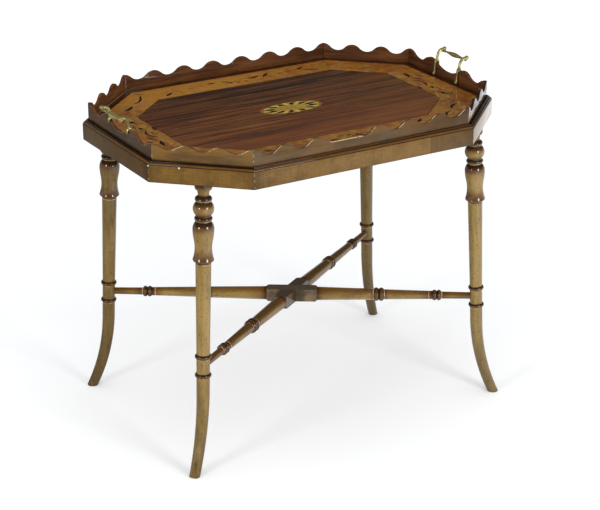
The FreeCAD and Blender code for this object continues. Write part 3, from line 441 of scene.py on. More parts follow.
def hollows_and_edges_group() -> Tree:
    """Masks of hollows, which darken the wood with soiling and painted shade and dull the brass,
    and of outer edges, which pale with wear and, on the gallery, with a painted highlight.

    Returns:
        The group's tree.
    """
    graph, into, out = new_group("Age", {"Reach": 6 * MM}, ("Hollows", "Outer edges"))
    # Ambient occlusion finds the hollows: on the wood their darkening is painted shade as well as
    # dirt.
    hollow = graph.add("AmbientOcclusion", samples=8)
    graph.feed(hollow.inputs["Distance"], into["Reach"])
    depth = graph.minus(1.0, hollow.outputs["AO"])
    patchiness = graph.patches(into["Vector"], 60.0, 0.2, 0.8, 0.6, 1.0)
    graph.feed(out["Hollows"], graph.math(
        "MULTIPLY", graph.span(depth, 0.12, 0.75), patchiness, clamp=True))
    rounded = graph.fill(graph.add("Bevel", samples=6), 0.8 * MM)[0]
    turn = graph.vector("DOT_PRODUCT", rounded, graph.normal())["Value"]
    edge = graph.span(graph.minus(1.0, turn), 0.02, 0.16)
    patchy = graph.times(edge, graph.patches(into["Vector"], 140.0, 0.48, 0.66, roughness=0.7))
    outward = graph.span(depth, 0.0, 0.35, 1.0, 0.0)
    graph.feed(out["Outer edges"], graph.math("MULTIPLY", patchy, outward, clamp=True))
    return graph.tree


def petal_group() -> Tree:
    """Masks of an oval patera of radiating petals, from a vector scaled to a unit circle.

    Returns:
        The group's tree.
    """
    graph, into, out = new_group(
        "Patera petals", {"Petals": 12.0, "Long": 57.5 * MM, "Short": 28 * MM,
                          "Slit middle": 0.73, "Slit length": 0.38, "Slit width": 9.4 * MM,
                          "Eye radius": 0.15},
        ("Slit", "Shade", "Shine", "Eye"))
    across, up, _ = graph.parts(into["Vector"])
    radius = graph.length(across, up)
    turn = graph.math("ARCTAN2", up, across)
    turns = graph.times(graph.plus(graph.math("DIVIDE", turn, 2 * math.pi), 1.0),
                        into["Petals"])
    offset = graph.size(graph.minus(graph.math("FRACT", turns), 0.5))
    step = graph.length(graph.times(graph.math("SINE", turn), into["Long"]),
                        graph.times(graph.math("COSINE", turn), into["Short"]))
    sector = graph.math("DIVIDE", 2 * math.pi, into["Petals"])
    beside = graph.times(offset, sector, graph.times(radius, step))
    along = graph.math("DIVIDE", graph.minus(radius, into["Slit middle"]),
                       graph.times(into["Slit length"], 0.5))
    swell = graph.minus(1.0, graph.times(along, along))
    gap = graph.minus(graph.times(swell, graph.times(into["Slit width"], 0.5)), beside)
    graph.feed(out["Slit"], graph.span(gap, -0.1 * MM, 0.3 * MM))
    edge = graph.span(graph.math("FRACT", graph.plus(turns, 0.5)), 0.45, 0.98)
    graph.feed(out["Shade"], graph.times(edge, graph.span(radius, 0.12, 0.45)))
    graph.feed(out["Shine"], graph.times(
        graph.span(offset, 0.28, 0.46), graph.span(radius, 0.3, 0.7)))
    ring = graph.size(graph.minus(radius, into["Eye radius"]))
    graph.feed(out["Eye"], graph.span(ring, 0.012, 0.03, 1.0, 0.0))
    return graph.tree


def band_group() -> Tree:
    """Coordinates along and across the sheet of a mitred band that a point lies on.

    Returns:
        The group's tree.
    """
    graph, into, out = new_group("Mitred band", {}, ("Along", "Across", "Mitre"))
    cant = SIDES["back_right"].place
    lean = -cant.matrix().col[1].to_3d()
    table_x, table_y, _ = graph.parts(into["Vector"])
    x, y = graph.size(table_x), graph.size(table_y)
    deep_long = graph.minus(SIDES["back"].place.origin[1], y)
    deep_short = graph.minus(SIDES["right"].place.origin[0], x)
    deep_cant = graph.minus(Vector(cant.origin).dot(lean),
                            graph.plus(graph.times(x, lean.x), graph.times(y, lean.y)))
    straight = graph.math("MINIMUM", deep_long, deep_short)
    on_short = graph.math("LESS_THAN", deep_short, deep_long)
    on_cant = graph.math("LESS_THAN", deep_cant, straight)
    slant = graph.minus(graph.times(y, lean.x), graph.times(x, lean.y))
    graph.feed(out["Along"], graph.choose(
        on_cant, graph.choose(on_short, table_x, table_y), slant))
    graph.feed(out["Across"], graph.math("MINIMUM", straight, deep_cant))
    graph.feed(out["Mitre"], graph.line(
        graph.minus(straight, deep_cant), 0.0, 0.2 * MM, 0.8 * MM))
    return graph.tree


@dataclass(frozen=True)
class Effects:
    """The shader groups that several finishes share."""

    grain: Tree = field(default_factory=grain_group)
    age: Tree = field(default_factory=hollows_and_edges_group)
    petals: Tree = field(default_factory=petal_group)
    band: Tree = field(default_factory=band_group)


EFFECTS = Effects()
Painter = Callable[[Graph, Socket, Socket], Socket]


def new_material(name: str) -> tuple[bpy.types.Material, Graph, bpy.types.Node]:
    """Start a material.

    Args:
        name: the material's name.

    Returns:
        The material, its graph and its Principled shader.
    """
    material = bpy.data.materials.new(name)
    material.use_nodes = True
    return material, Graph(material.node_tree), material.node_tree.nodes["Principled BSDF"]


class Grain(Enum):
    """The axis of a side's frame, or of the table's, along which the grain runs."""

    ALONG = (0.0, 0.0, 0.0)
    INWARDS = (0.0, 0.0, -math.pi / 2)
    UPRIGHT = (0.0, math.pi / 2, 0.0)


@dataclass(frozen=True)
class Mottle:
    """Uneven polish: patches of another colour, as many to a metre as its scale says."""

    scale: float
    code: str
    strength: float
    stretch: Triple = (1.0, 1.0, 1.0)
    offset: Triple = (0.0, 0.0, 0.0)

    def __call__(self, graph: Graph, vector: Socket, shade: Socket) -> Socket:
        """Lay the patches over a colour.

        Args:
            graph: the material's graph.
            vector: the point in the piece's frame.
            shade: the colour so far.

        Returns:
            The new colour.
        """
        place = graph.mapped(vector, self.stretch, self.offset)
        mask = graph.patches(place, self.scale, 0.42, 0.72, end=self.strength, detail=4.0,
                             roughness=0.6)
        return graph.paint(shade, (mask, self.code))


@dataclass(frozen=True)
class Wood:
    """A polished wood: its colours, its figure and its varnish."""

    name: str
    light: str
    dark: str
    dirt: str = "1c1209"
    rubbed_and_glint: str = "b59a62"
    length: float = 4.0
    width: float = 90.0
    curl: float = 0.4
    bend: float = 0.02
    streak: float = 0.8
    pores: float = 0.35
    clouds: float = 0.3
    mitre: float = 0.55
    dirt_strength: float = 0.85
    rubbed_and_glint_strength: float = 0.5
    reach: float = 6 * MM
    roughness: float = 0.42
    gloss: float = 0.03
    coat: float = 0.6
    coat_roughness: float = 0.07
    coat_ior: float = 1.38
    bump: float = 0.04
    bump_depth: float = 0.4 * MM

    def board(self, graph: Graph, vector: Socket, grain: Grain) -> tuple[Socket, Socket]:
        """The wood's colour before age.

        Args:
            graph: the material's graph.
            vector: coordinates in the frame of the piece.
            grain: the direction of the grain.

        Returns:
            The colour's socket and the pores' socket.
        """
        figure = graph.group(EFFECTS.grain, graph.mapped(vector, turn=grain.value),
                             Length=self.length, Width=self.width, Curl=self.curl,
                             Bend=self.bend)
        streaks = graph.times(figure["Streaks"], self.streak)
        clouds = graph.minus(graph.times(figure["Clouds"], self.clouds), self.clouds / 2)
        depth = graph.math("ADD", streaks, clouds, clamp=True)
        pores = graph.times(figure["Pores"], self.pores)
        shade = graph.paint(colour(self.light), (depth, self.dark), (pores, self.dirt))
        return shade, figure["Pores"]

    def material(self, name: str, place: Place = TABLE, grain: Grain = Grain.ALONG,
                 painter: Painter | None = None, mitred: bool = False) -> bpy.types.Material:
        """Build the material.

        Args:
            name: the material's name.
            place: the frame that the figure follows.
            grain: the direction of the grain in that frame.
            painter: paints a detail over the wood: called with the graph, the vector and
                the colour, it returns the new colour.
            mitred: whether the figure follows the sides of a mitred band.

        Returns:
            The material.
        """
        material, graph, shader = new_material(f"{self.name} {name}")
        vector = graph.spot()
        if place != TABLE:
            vector = graph.mapped(vector, offset=place.origin, turn=place.turn, kind="TEXTURE")
        if mitred:
            band = graph.group(EFFECTS.band, vector)
            sheet = graph.combine(band["Along"], band["Across"])
            shade, pores = self.board(graph, sheet, grain)
            shade = graph.paint(shade, (graph.times(band["Mitre"], self.mitre), self.dirt))
        else:
            shade, pores = self.board(graph, vector, grain)
        if painter is not None:
            shade = painter(graph, vector, shade)
        # Darker in the hollows, as dirt and painted shade; paler on the outer edges, as wear and,
        # on the gallery, a painted highlight.
        age = graph.group(EFFECTS.age, vector, Reach=self.reach)
        graph.feed(shader.inputs["Base Color"], graph.paint(
            shade, (graph.times(age["Hollows"], self.dirt_strength), self.dirt),
            (graph.times(age["Outer edges"], self.rubbed_and_glint_strength), self.rubbed_and_glint)))
        graph.feed(shader.inputs["Roughness"], graph.patches(
            vector, 25.0, 0.3, 0.7, self.roughness - 0.06, self.roughness + 0.08))
        for label, value in (("Specular IOR Level", self.gloss), ("Coat Weight", self.coat),
                             ("Coat Roughness", self.coat_roughness),
                             ("Coat IOR", self.coat_ior)):
            shader.inputs[label].default_value = value
        relief = graph.add("Bump")
        for label, value in (("Strength", self.bump), ("Distance", self.bump_depth),
                             ("Height", graph.minus(1.0, pores))):
            graph.feed(relief.inputs[label], value)
        graph.feed(shader.inputs["Normal"], relief.outputs[0])
        return material


def varnished(name: str, light: str, dark: str, **rest: float) -> Wood:
    """A wood of the tray's floor: no edge is paled, and a smooth varnish lies over it."""
    shared = {"rubbed_and_glint_strength": 0.0, "coat": 1.0, "coat_roughness": 0.04}
    return Wood(name, light, dark, **shared | rest)


TURNED = Wood("Golden turned wood", light="a08449", dark="735929", streak=0.55, pores=0.25,
              coat=1.0, coat_roughness=0.03, coat_ior=1.5, reach=4 * MM, bump=0.012)
RIM = Wood("Golden rim", light="7a5626", dark="4a3016", streak=0.6, reach=4 * MM)
DARK_RIM = replace(RIM, light="5a3a20", dark="2a180e", coat=0.25)
APRON = Wood("Crossed apron veneer", light="7a5a29", dark="5f461d", length=12.0, width=260.0,
             curl=0.2, streak=0.35, clouds=0.5, pores=0.12)
POLISHED_APRON = replace(APRON, coat=1.0, coat_roughness=0.06, coat_ior=1.9)
# The gallery's pale edges are wear and a painted highlight along its top edges.
GALLERY = Wood("Gallery board", light="704526", dark="3a2011", pores=0.5, rubbed_and_glint="d0bd94",
               rubbed_and_glint_strength=0.9)
POLISHED_GALLERY = replace(GALLERY, coat=1.0, coat_roughness=0.1, coat_ior=1.6)
SECONDARY = Wood("Plain carcase wood", light="7a5a34", dark="4e3620", coat=0.0,
                 roughness=0.6, rubbed_and_glint_strength=0.2)
FIELD = varnished("Dark mahogany field", "78431a", "34180b", length=2.0, width=120.0,
                  curl=0.15, bend=0.004, streak=0.95, pores=0.3, dirt_strength=0.3,
                  coat_ior=1.45)
SATINWOOD = varnished("Satinwood band", "a2662a", "7a4719", length=8.0, width=150.0,
                      streak=0.6, clouds=0.7, pores=0.15, dirt_strength=0.4, coat_ior=1.5)
CROSSBAND = varnished("Dark crossbanding", "4c2615", "2a140c", length=20.0,
                      dirt_strength=0.4, coat=0.4)
BORDER = varnished("Shaded border", "b0692a", "7a421a", length=20.0, dirt_strength=0.3)
PATERA = varnished("Patera satinwood", "b4943c", "94742a", length=20.0, width=160.0,
                   streak=0.5, dirt_strength=0.2)
STRING = varnished("Stringing", "3a2414", "24140b")
INK = varnished("Dark inlay", "261208", "170b05")
LEAF = varnished("Pale inlay", "ab8d3a", "876b28")
STEM = varnished("Brown inlay", "743e1d", "4c2812")


@dataclass(frozen=True)
class Brass:
    """Old polished brass, bright on its crests and dull in its hollows."""

    bright: str = "c9bb7c"
    dull: str = "564b1e"
    roughness: float = 0.27
    dull_roughness: float = 0.5
    lacquer: float = 0.3
    dull_metal: float = 0.45
    reach: float = 4 * MM

    def material(self) -> bpy.types.Material:
        """Build the material.

        Returns:
            The material.
        """
        material, graph, shader = new_material("Old brass")
        place = graph.spot()
        age = graph.group(EFFECTS.age, place, Reach=self.reach)
        film = graph.patches(place, 70.0, 0.36, 0.66, 0.05, 0.75, detail=2.0)
        dull = graph.top(film, age["Hollows"])
        for label, value in (
                ("Base Color", graph.paint(colour(self.bright), (dull, self.dull))),
                ("Roughness", graph.span(dull, 0.0, 1.0, self.roughness, self.dull_roughness)),
                ("Metallic", graph.span(dull, 0.0, 0.8, 1.0 - self.lacquer, self.dull_metal))):
            graph.feed(shader.inputs[label], value)
        return material


# Shaping.

CREASE = math.radians(28)
SMOOTH_LIMIT = math.radians(40)
FLAT_LIMIT = math.radians(0.5)
WELD = 0.002 * MM


def placed(name: str, data: bpy.types.ID) -> bpy.types.Object:
    """Put a new object into the scene.

    Args:
        name: its name.
        data: its mesh, its lamp or its camera.

    Returns:
        The object.
    """
    thing = bpy.data.objects.new(name, data)
    bpy.context.scene.collection.objects.link(thing)
    return thing


def dress(piece: bpy.types.Object, material: bpy.types.Material) -> None:
    """Give a piece one material in place of those that it has, and report it.

    Args:
        piece: the piece.
        material: its material.
    """
    piece.data.materials.clear()
    piece.data.materials.append(material)
    LOG.info("%s", piece.name)


def smooth_piece(name: str, shape: bmesh.types.BMesh, body: str) -> bpy.types.Object:
    """Make a piece of a mesh, smooth but for its sharp edges.

    Args:
        name: the piece's name.
        shape: its mesh, which is freed.
        body: the body that it moves with.

    Returns:
        The piece.
    """
    bmesh.ops.recalc_face_normals(shape, faces=shape.faces)
    for face in shape.faces:
        face.smooth = True
    mesh = bpy.data.meshes.new(name)
    shape.to_mesh(mesh)
    shape.free()
    mesh.set_sharp_from_angle(angle=SMOOTH_LIMIT)
    piece = placed(name, mesh)
    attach(piece, body)
    return piece


def softened(node: str, width: float) -> bpy.types.Object:
    """A copy of a CAD node with its loose triangles joined and its sharp edges rounded.

    Args:
        node: the CAD node's name, which the copy replaces.
        width: how far the rounding reaches into each face, in metres.

    Returns:
        The new piece, riding with the node's body.
    """
    source = frame["nodes"][node]
    shape = bmesh.new()
    shape.from_mesh(source.data)
    bmesh.ops.remove_doubles(shape, verts=shape.verts, dist=WELD)
    bmesh.ops.dissolve_limit(shape, angle_limit=FLAT_LIMIT, verts=shape.verts,
                             edges=shape.edges)
    sharp = [edge for edge in shape.edges
             if edge.is_manifold and edge.calc_face_angle(0) > CREASE]
    bmesh.ops.bevel(shape, geom=sharp, offset=width, segments=3, affect="EDGES",
                    profile=0.5, clamp_overlap=True, material=-1)
    piece = smooth_piece(f"{node}_soft", shape, body_of(source)[0])
    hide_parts(node)
    return piece


def curve_through(points: list[tuple[float, ...]], steps: int) -> list[Vector]:
    """A smooth line through points.

    Args:
        points: the points that it passes.
        steps: steps between each two of them.

    Returns:
        The points of the line.
    """
    knots = [Vector(point) for point in points]
    knots = [knots[0] * 2 - knots[1], *knots, knots[-1] * 2 - knots[-2]]
    line = []
    for before, start, end, after in zip(knots, knots[1:], knots[2:], knots[3:]):
        for step in range(steps):
            share = step / steps
            line.append(0.5 * (start * 2 + (end - before) * share
                               + (before * 2 - start * 5 + end * 4 - after) * share ** 2
                               + (start * 3 - before - end * 3 + after) * share ** 3))
    return [*line, knots[-2]]


def way_at(line: list[Vector], index: int) -> Vector:
    """The step from the point before to the point after a point of a line."""
    return line[min(index + 1, len(line) - 1)] - line[max(index - 1, 0)]


def spread(values: tuple[float, ...], count: int) -> list[float]:
    """Spread values evenly over places.

    Args:
        values: the values.
        count: how many places they are spread over.

    Returns:
        The value at each place, read off straight lines between the values.
    """
    spots = []
    for index in range(count):
        place = index / (count - 1) * (len(values) - 1)
        low = min(int(place), len(values) - 2)
        spots.append(values[low] + (values[low + 1] - values[low]) * (place - low))
    return spots


def of_kind(items: list, kind: type) -> list:
    """The items that are of a kind, such as the vertices among new geometry."""
    return [item for item in items if isinstance(item, kind)]


def add_tube(shape: bmesh.types.BMesh, line: list[Vector], radii: list[float],
             flat: float = 1.0, segments: int = 16) -> None:
    """Extrude a round or oval section along a line and close its ends.

    Args:
        shape: the mesh that the tube is added to.
        line: the points of the tube's axis.
        radii: the tube's radius at each point.
        flat: the section's size along x as a share of the other way.
        segments: sides of the section.
    """
    verts = bmesh.ops.create_circle(shape, segments=segments, radius=1.0)["verts"]
    first = edges = list({edge for vert in verts for edge in vert.link_edges})
    last = Matrix.Identity(4)
    for index, (point, radius) in enumerate(zip(line, radii)):
        way = way_at(line, index)
        across = Vector((0.0, 0.0, 1.0) if abs(way.x) > way.length / 2 else (1.0, 0.0, 0.0))
        other = way.normalized().cross(across).normalized()
        turn = Matrix((across * flat, other, way.normalized())).transposed().to_4x4()
        here = Matrix.Translation(point) @ turn @ Matrix.Scale(radius, 4)
        if index:
            grown = bmesh.ops.extrude_edge_only(shape, edges=edges)["geom"]
            verts = of_kind(grown, bmesh.types.BMVert)
            edges = [edge for edge in of_kind(grown, bmesh.types.BMEdge)
                     if all(vert in verts for vert in edge.verts)]
        bmesh.ops.transform(shape, matrix=here @ last.inverted(), verts=verts)
        last = here
    bmesh.ops.edgeloop_fill(shape, edges=first)
    bmesh.ops.edgeloop_fill(shape, edges=edges)


def add_ball(shape: bmesh.types.BMesh, centre: Triple, radius: float,
             stretch: Triple = (1.0, 1.0, 1.0)) -> None:
    """Add a ball, or an egg when it is stretched."""
    place = Matrix.Translation(centre) @ Matrix.Diagonal((*stretch, 1.0))
    bmesh.ops.create_uvsphere(shape, u_segments=20, v_segments=12, radius=radius,
                              matrix=place)


def add_ribbon(shape: bmesh.types.BMesh, line: list[Vector], widths: list[float],
               top: float, depth: float) -> None:
    """Lay a flat ribbon: an edge extruded along a line, then given its depth.

    Args:
        shape: the mesh that the ribbon is added to.
        line: the points of its middle line, seen from above.
        widths: its width at each point.
        top: the height of its upper face.
        depth: how deep it is let in.
    """
    verts = [shape.verts.new((0.0, 0.0, top)) for _ in range(2)]
    edge = shape.edges.new(verts)
    faces = []
    for index, (point, width) in enumerate(zip(line, widths)):
        way = way_at(line, index)
        beside = Vector((-way.y, way.x, 0.0)).normalized() * width / 2
        if index:
            grown = bmesh.ops.extrude_edge_only(shape, edges=[edge])["geom"]
            edge = of_kind(grown, bmesh.types.BMEdge)[0]
            faces += of_kind(grown, bmesh.types.BMFace)
            verts = [min(edge.verts, key=lambda vert: (vert.co - old.co).length)
                     for old in verts]
        middle = Vector((point.x, point.y, top))
        verts[0].co, verts[1].co = middle + beside, middle - beside
    sunk = bmesh.ops.extrude_face_region(shape, geom=faces)["geom"]
    bmesh.ops.translate(shape, vec=(0.0, 0.0, -depth), verts=of_kind(sunk, bmesh.types.BMVert))


# The stand.

@dataclass(frozen=True)
class StainLightAndShade:
    """Dark and reddish stain on a turned piece, by the distance along its axis, with painted
    shade in its quirks and on the tops of its rounds, paler undersides and highlight lines as
    painted reflection, and a darker tone as painted shade.

    Marks are given by the millimetre, and rings, scuffs and pale lines in metres.
    """

    reach: float
    marks: tuple[tuple[float, float], ...]
    rings: tuple[float, ...] = ()
    axis: int = 2
    # tone darkens the whole piece with the grime and shade colour: painted shade on the pieces
    # further from the lamps.
    tone: float = 0.0
    scuffed: Triple = (0.0, 1.0, 0.0)
    # Painted highlight lines along the rounds, coloured by pale below.
    highlight_lines: tuple[float, ...] = ()
    wander: float = 3 * MM
    drawn: float = 12.0
    across: float = 55.0
    red: str = "623d16"
    dark: str = "1f130a"
    grime_and_shade: str = "2f2012"
    pale: str = "cdb274"

    def __call__(self, graph: Graph, vector: Socket, shade: Socket) -> Socket:
        """Paint the stain and its painted shade, the dirty streaks, the scuffed end, the darker
        tone of painted shade and the painted highlight lines over a colour.

        Args:
            graph: the material's graph.
            vector: the point in the piece's frame.
            shade: the colour so far.

        Returns:
            The new colour.
        """
        exact = graph.size(graph.parts(vector)[self.axis])
        place = graph.plus(exact, graph.times(
            graph.minus(graph.noise(vector, 90.0), 0.5), self.wander))
        lengthened = [self.across] * 3
        lengthened[self.axis] = self.drawn
        specks = graph.patches(vector, 240.0, 0.56, 0.70, end=0.45, detail=2.0, roughness=0.6)
        streaks = graph.patches(graph.mapped(vector, lengthened), 1.0, 0.46, 0.76, end=0.42,
                                detail=4.0, roughness=0.6)
        start, end, amount = self.scuffed
        # Specks, streaks and the scuffed end are grime; the tone coat is painted shade.
        shade = graph.paint(
            shade, (specks, self.grime_and_shade), (self.tone, self.grime_and_shade), (streaks, self.grime_and_shade),
            (graph.span(place, start, end, 0.0, amount), self.grime_and_shade))
        # The marks are stain and painted shade: darkest in the quirks and on the tops of the
        # rounds.
        mask = graph.ramp(graph.math("DIVIDE", place, self.reach), [
            (spot * MM / self.reach, (mark, mark, mark, 1.0)) for spot, mark in self.marks])
        # Each ring: painted shade in the quirks beside it, and less on its crest, which reads as
        # a painted highlight.
        for ring in self.rings:
            hollow = graph.line(place, ring, 3.2 * MM, 5.4 * MM, 0.9)
            crest = graph.line(place, ring, 0.6 * MM, 2.0 * MM, 0.35)
            mask = graph.top(mask, graph.minus(hollow, crest))
        # Undersides take little of the stain: a painted reflection of the lit floor.
        if self.axis == 2:
            mask = graph.times(mask, graph.span(
                graph.parts(graph.normal())[2], -0.9, -0.35, 0.15, 1.0))
        shade = graph.paint(shade, (graph.span(mask, 0.0, 0.55, 0.0, 0.85), self.red),
                            (graph.span(mask, 0.35, 1.0, 0.0, 0.94), self.dark))
        # Painted highlight lines along the rounds, where they would mirror the floor and the
        # lamps.
        for line in self.highlight_lines:
            patchy = graph.times(graph.line(exact, line, 0.5 * MM, 1.2 * MM),
                               graph.patches(vector, 130.0, 0.40, 0.56, 0.2, 0.65,
                                             detail=2.0))
            shade = graph.paint(shade, (patchy, self.pale))
        return shade


@dataclass(frozen=True)
class RailStainLightAndShade(StainLightAndShade):
    """The stain of a stretcher rail, whose square block is greyer than its turned ends, with
    painted shade on tops and in the crossing's inner corner and a painted reflection on
    undersides.
    """

    block: float = 48.5 * MM
    block_side: str = "76634a"
    # Painted light: the block's shaded top, the shaded inner corner of the crossing, upper for
    # the rails' shaded tops and under for their painted reflection below.
    block_top: str = "5c4f43"
    block_corner_shade: str = "17120e"
    smoke: str = "2a221b"
    upper: str = "3f2410"
    under: str = "c9bca2"

    def __call__(self, graph: Graph, vector: Socket, shade: Socket) -> Socket:
        """Paint the block grey brown with its top and inner corner darkened as painted shade, the
        rail's tops shaded and its undersides paled as a painted reflection, and the stain over
        that.

        Args:
            graph: the material's graph.
            vector: the point in the piece's frame.
            shade: the colour so far.

        Returns:
            The new colour.
        """
        place = graph.size(graph.parts(vector)[0])
        level = graph.parts(graph.normal())[2]
        smoke = graph.patches(vector, 55.0, 0.45, 0.62, end=0.6, detail=4.0, roughness=0.65)
        # Painted shade: the block's top darker, and its sides darkest near the crossing's inner
        # corner.
        inner = graph.times(graph.span(place, 18 * MM, 30 * MM, 0.85, 0.0),
                            graph.span(level, 0.4, 0.8, 1.0, 0.0))
        square = graph.paint(colour(self.block_side), (smoke, self.smoke),
                             (graph.span(level, 0.4, 0.8), self.block_top),
                             (inner, self.block_corner_shade))
        # Painted shade on the rail's tops and a painted reflection of the floor on its
        # undersides.
        shade = graph.paint(shade, (graph.span(level, 0.3, 0.85, 0.0, 0.65), self.upper),
                            (graph.span(level, -0.75, -0.35, 0.6, 0.0), self.under))
        on_block = graph.span(place, self.block - 1 * MM, self.block, 0.85, 0.0)
        return super().__call__(graph, vector, graph.mix(on_block, shade, square))


@dataclass(frozen=True)
class VeneerSheets:
    """The sheets of veneer on an apron board, its chipped mitres, its painted shade and its
    painted highlight spots.

    Each sheet is given by where it starts and how much darker, or paler if less than 0, it is.
    """

    side: Side
    sheets: tuple[tuple[float, float], ...]
    # tone is painted shade over the whole side; the spots listed next are painted highlights.
    tone: float = 0.0
    glint_spots: tuple[Triple, ...] = ()
    mottles: tuple[Mottle, ...] = (
        Mottle(38.0, "3a2a12", 0.4), Mottle(60.0, "35250f", 0.3, (1.0, 1.0, 7.0)))
    shadow: str = "2c2014"
    dark_line: str = "3a2a12"
    pale_line: str = "a5894e"
    dark_sheet: str = "2c1c0f"
    pale_sheet: str = "a58a5c"
    sheet_joint: str = "24160b"
    soot: str = "33240f"
    mitre: str = "1c1109"
    chip: str = "b9a988"
    glint: str = "f2e6c4"
    foot: str = "1f140a"

    def __call__(self, graph: Graph, vector: Socket, shade: Socket) -> Socket:
        """Paint the side's painted shade, the sheets' tones, their joints, the chipped mitres and
        the painted highlight spots over a colour.

        Args:
            graph: the material's graph.
            vector: the point in the piece's frame.
            shade: the colour so far.

        Returns:
            The new colour.
        """
        along, _, level = graph.parts(vector)
        lines = graph.noise(graph.mapped(vector, (420.0, 1.0, 9.0)), 1.0, roughness=0.6)
        # The tone coat, in the shadow colour, is painted shade.
        shade = graph.paint(shade, (self.tone, self.shadow),
                            (graph.span(lines, 0.48, 0.70, 0.0, 0.16), self.dark_line),
                            (graph.span(lines, 0.30, 0.46, 0.16, 0.0), self.pale_line))
        for mottle in self.mottles:
            shade = mottle(graph, vector, shade)
        for place, tone in self.sheets:
            darker = tone > 0
            sheet = graph.times(graph.math("GREATER_THAN", along, place), abs(tone))
            line = graph.line(along, place, 0.3 * MM, 0.9 * MM, 0.5 if darker else 0.15)
            shade = graph.paint(shade, (sheet, self.dark_sheet if darker else self.pale_sheet),
                                (line, self.sheet_joint))
        end = graph.minus(self.side.half, graph.size(along))
        joint = graph.span(end, 0.3 * MM, 0.9 * MM, 1.0, 0.0)
        chips = graph.patches(vector, 150.0, 0.50, 0.58, roughness=0.75)
        shade = graph.paint(shade, (graph.span(end, 0.0, 26 * MM, 0.45, 0.0), self.soot),
                            (graph.times(joint, 0.6), self.mitre),
                            (graph.times(joint, chips), self.chip))
        # Small near-white spots: painted highlights.
        turned = self.side.place.matrix().inverted()
        for glint in self.glint_spots:
            away = graph.vector("DISTANCE", vector, turned @ Vector(glint))["Value"]
            lit_spot = graph.span(away, 0.9 * MM, 2.1 * MM, 0.95, 0.0)
            shade = graph.paint(shade, (lit_spot, self.glint))
        low = graph.span(level, APRON_FOOT, APRON_FOOT + 2 * MM, 0.7, 0.0)
        return graph.paint(shade, (low, self.foot))


@dataclass(frozen=True)
class RimLightAndShade:
    """Painted shade on the inner bead of a rim moulding, in its quirk and in the line under its
    outer bead, with a painted glint on the inner bead's crest.
    """

    # inner and quirk are painted shade, crest a painted glint.
    inner: str = "160c07"
    quirk: str = "160c07"
    patchy: str = "3c2213"
    crest: str = "5a3820"

    def __call__(self, graph: Graph, vector: Socket, shade: Socket) -> Socket:
        """Paint shade on the inner bead and in the quirks, a glint on the inner bead's crest and
        patches on the outer bead over a colour.

        Args:
            graph: the material's graph.
            vector: the point in the piece's frame.
            shade: the colour so far.

        Returns:
            The new colour.
        """
        _, inwards, level = graph.parts(vector)
        # Painted shade on the inner bead, in the quirk and under the outer bead, and a painted
        # glint along the inner bead's crest.
        on_inner = graph.span(inwards, 4.0 * MM, 4.8 * MM, 0.0, 0.94)
        under = graph.span(level, APRON_TOP + 0.7 * MM, APRON_TOP + 1.9 * MM, 0.94, 0.0)
        crest = graph.span(level, APRON_TOP + 6.9 * MM, APRON_TOP + 7.4 * MM, 0.0, 0.35)
        patchy = graph.patches(graph.mapped(vector, (0.3, 1.0, 1.0)), 60.0, 0.45, 0.7, end=0.5)
        inner = graph.paint(colour(self.inner), (crest, self.crest))
        shade = graph.mix(on_inner, graph.paint(shade, (patchy, self.patchy)), inner)
        quirk = graph.line(inwards, 4.6 * MM, 0.5 * MM, 1.0 * MM, 0.94)
        return graph.paint(shade, (graph.top(quirk, under), self.quirk))


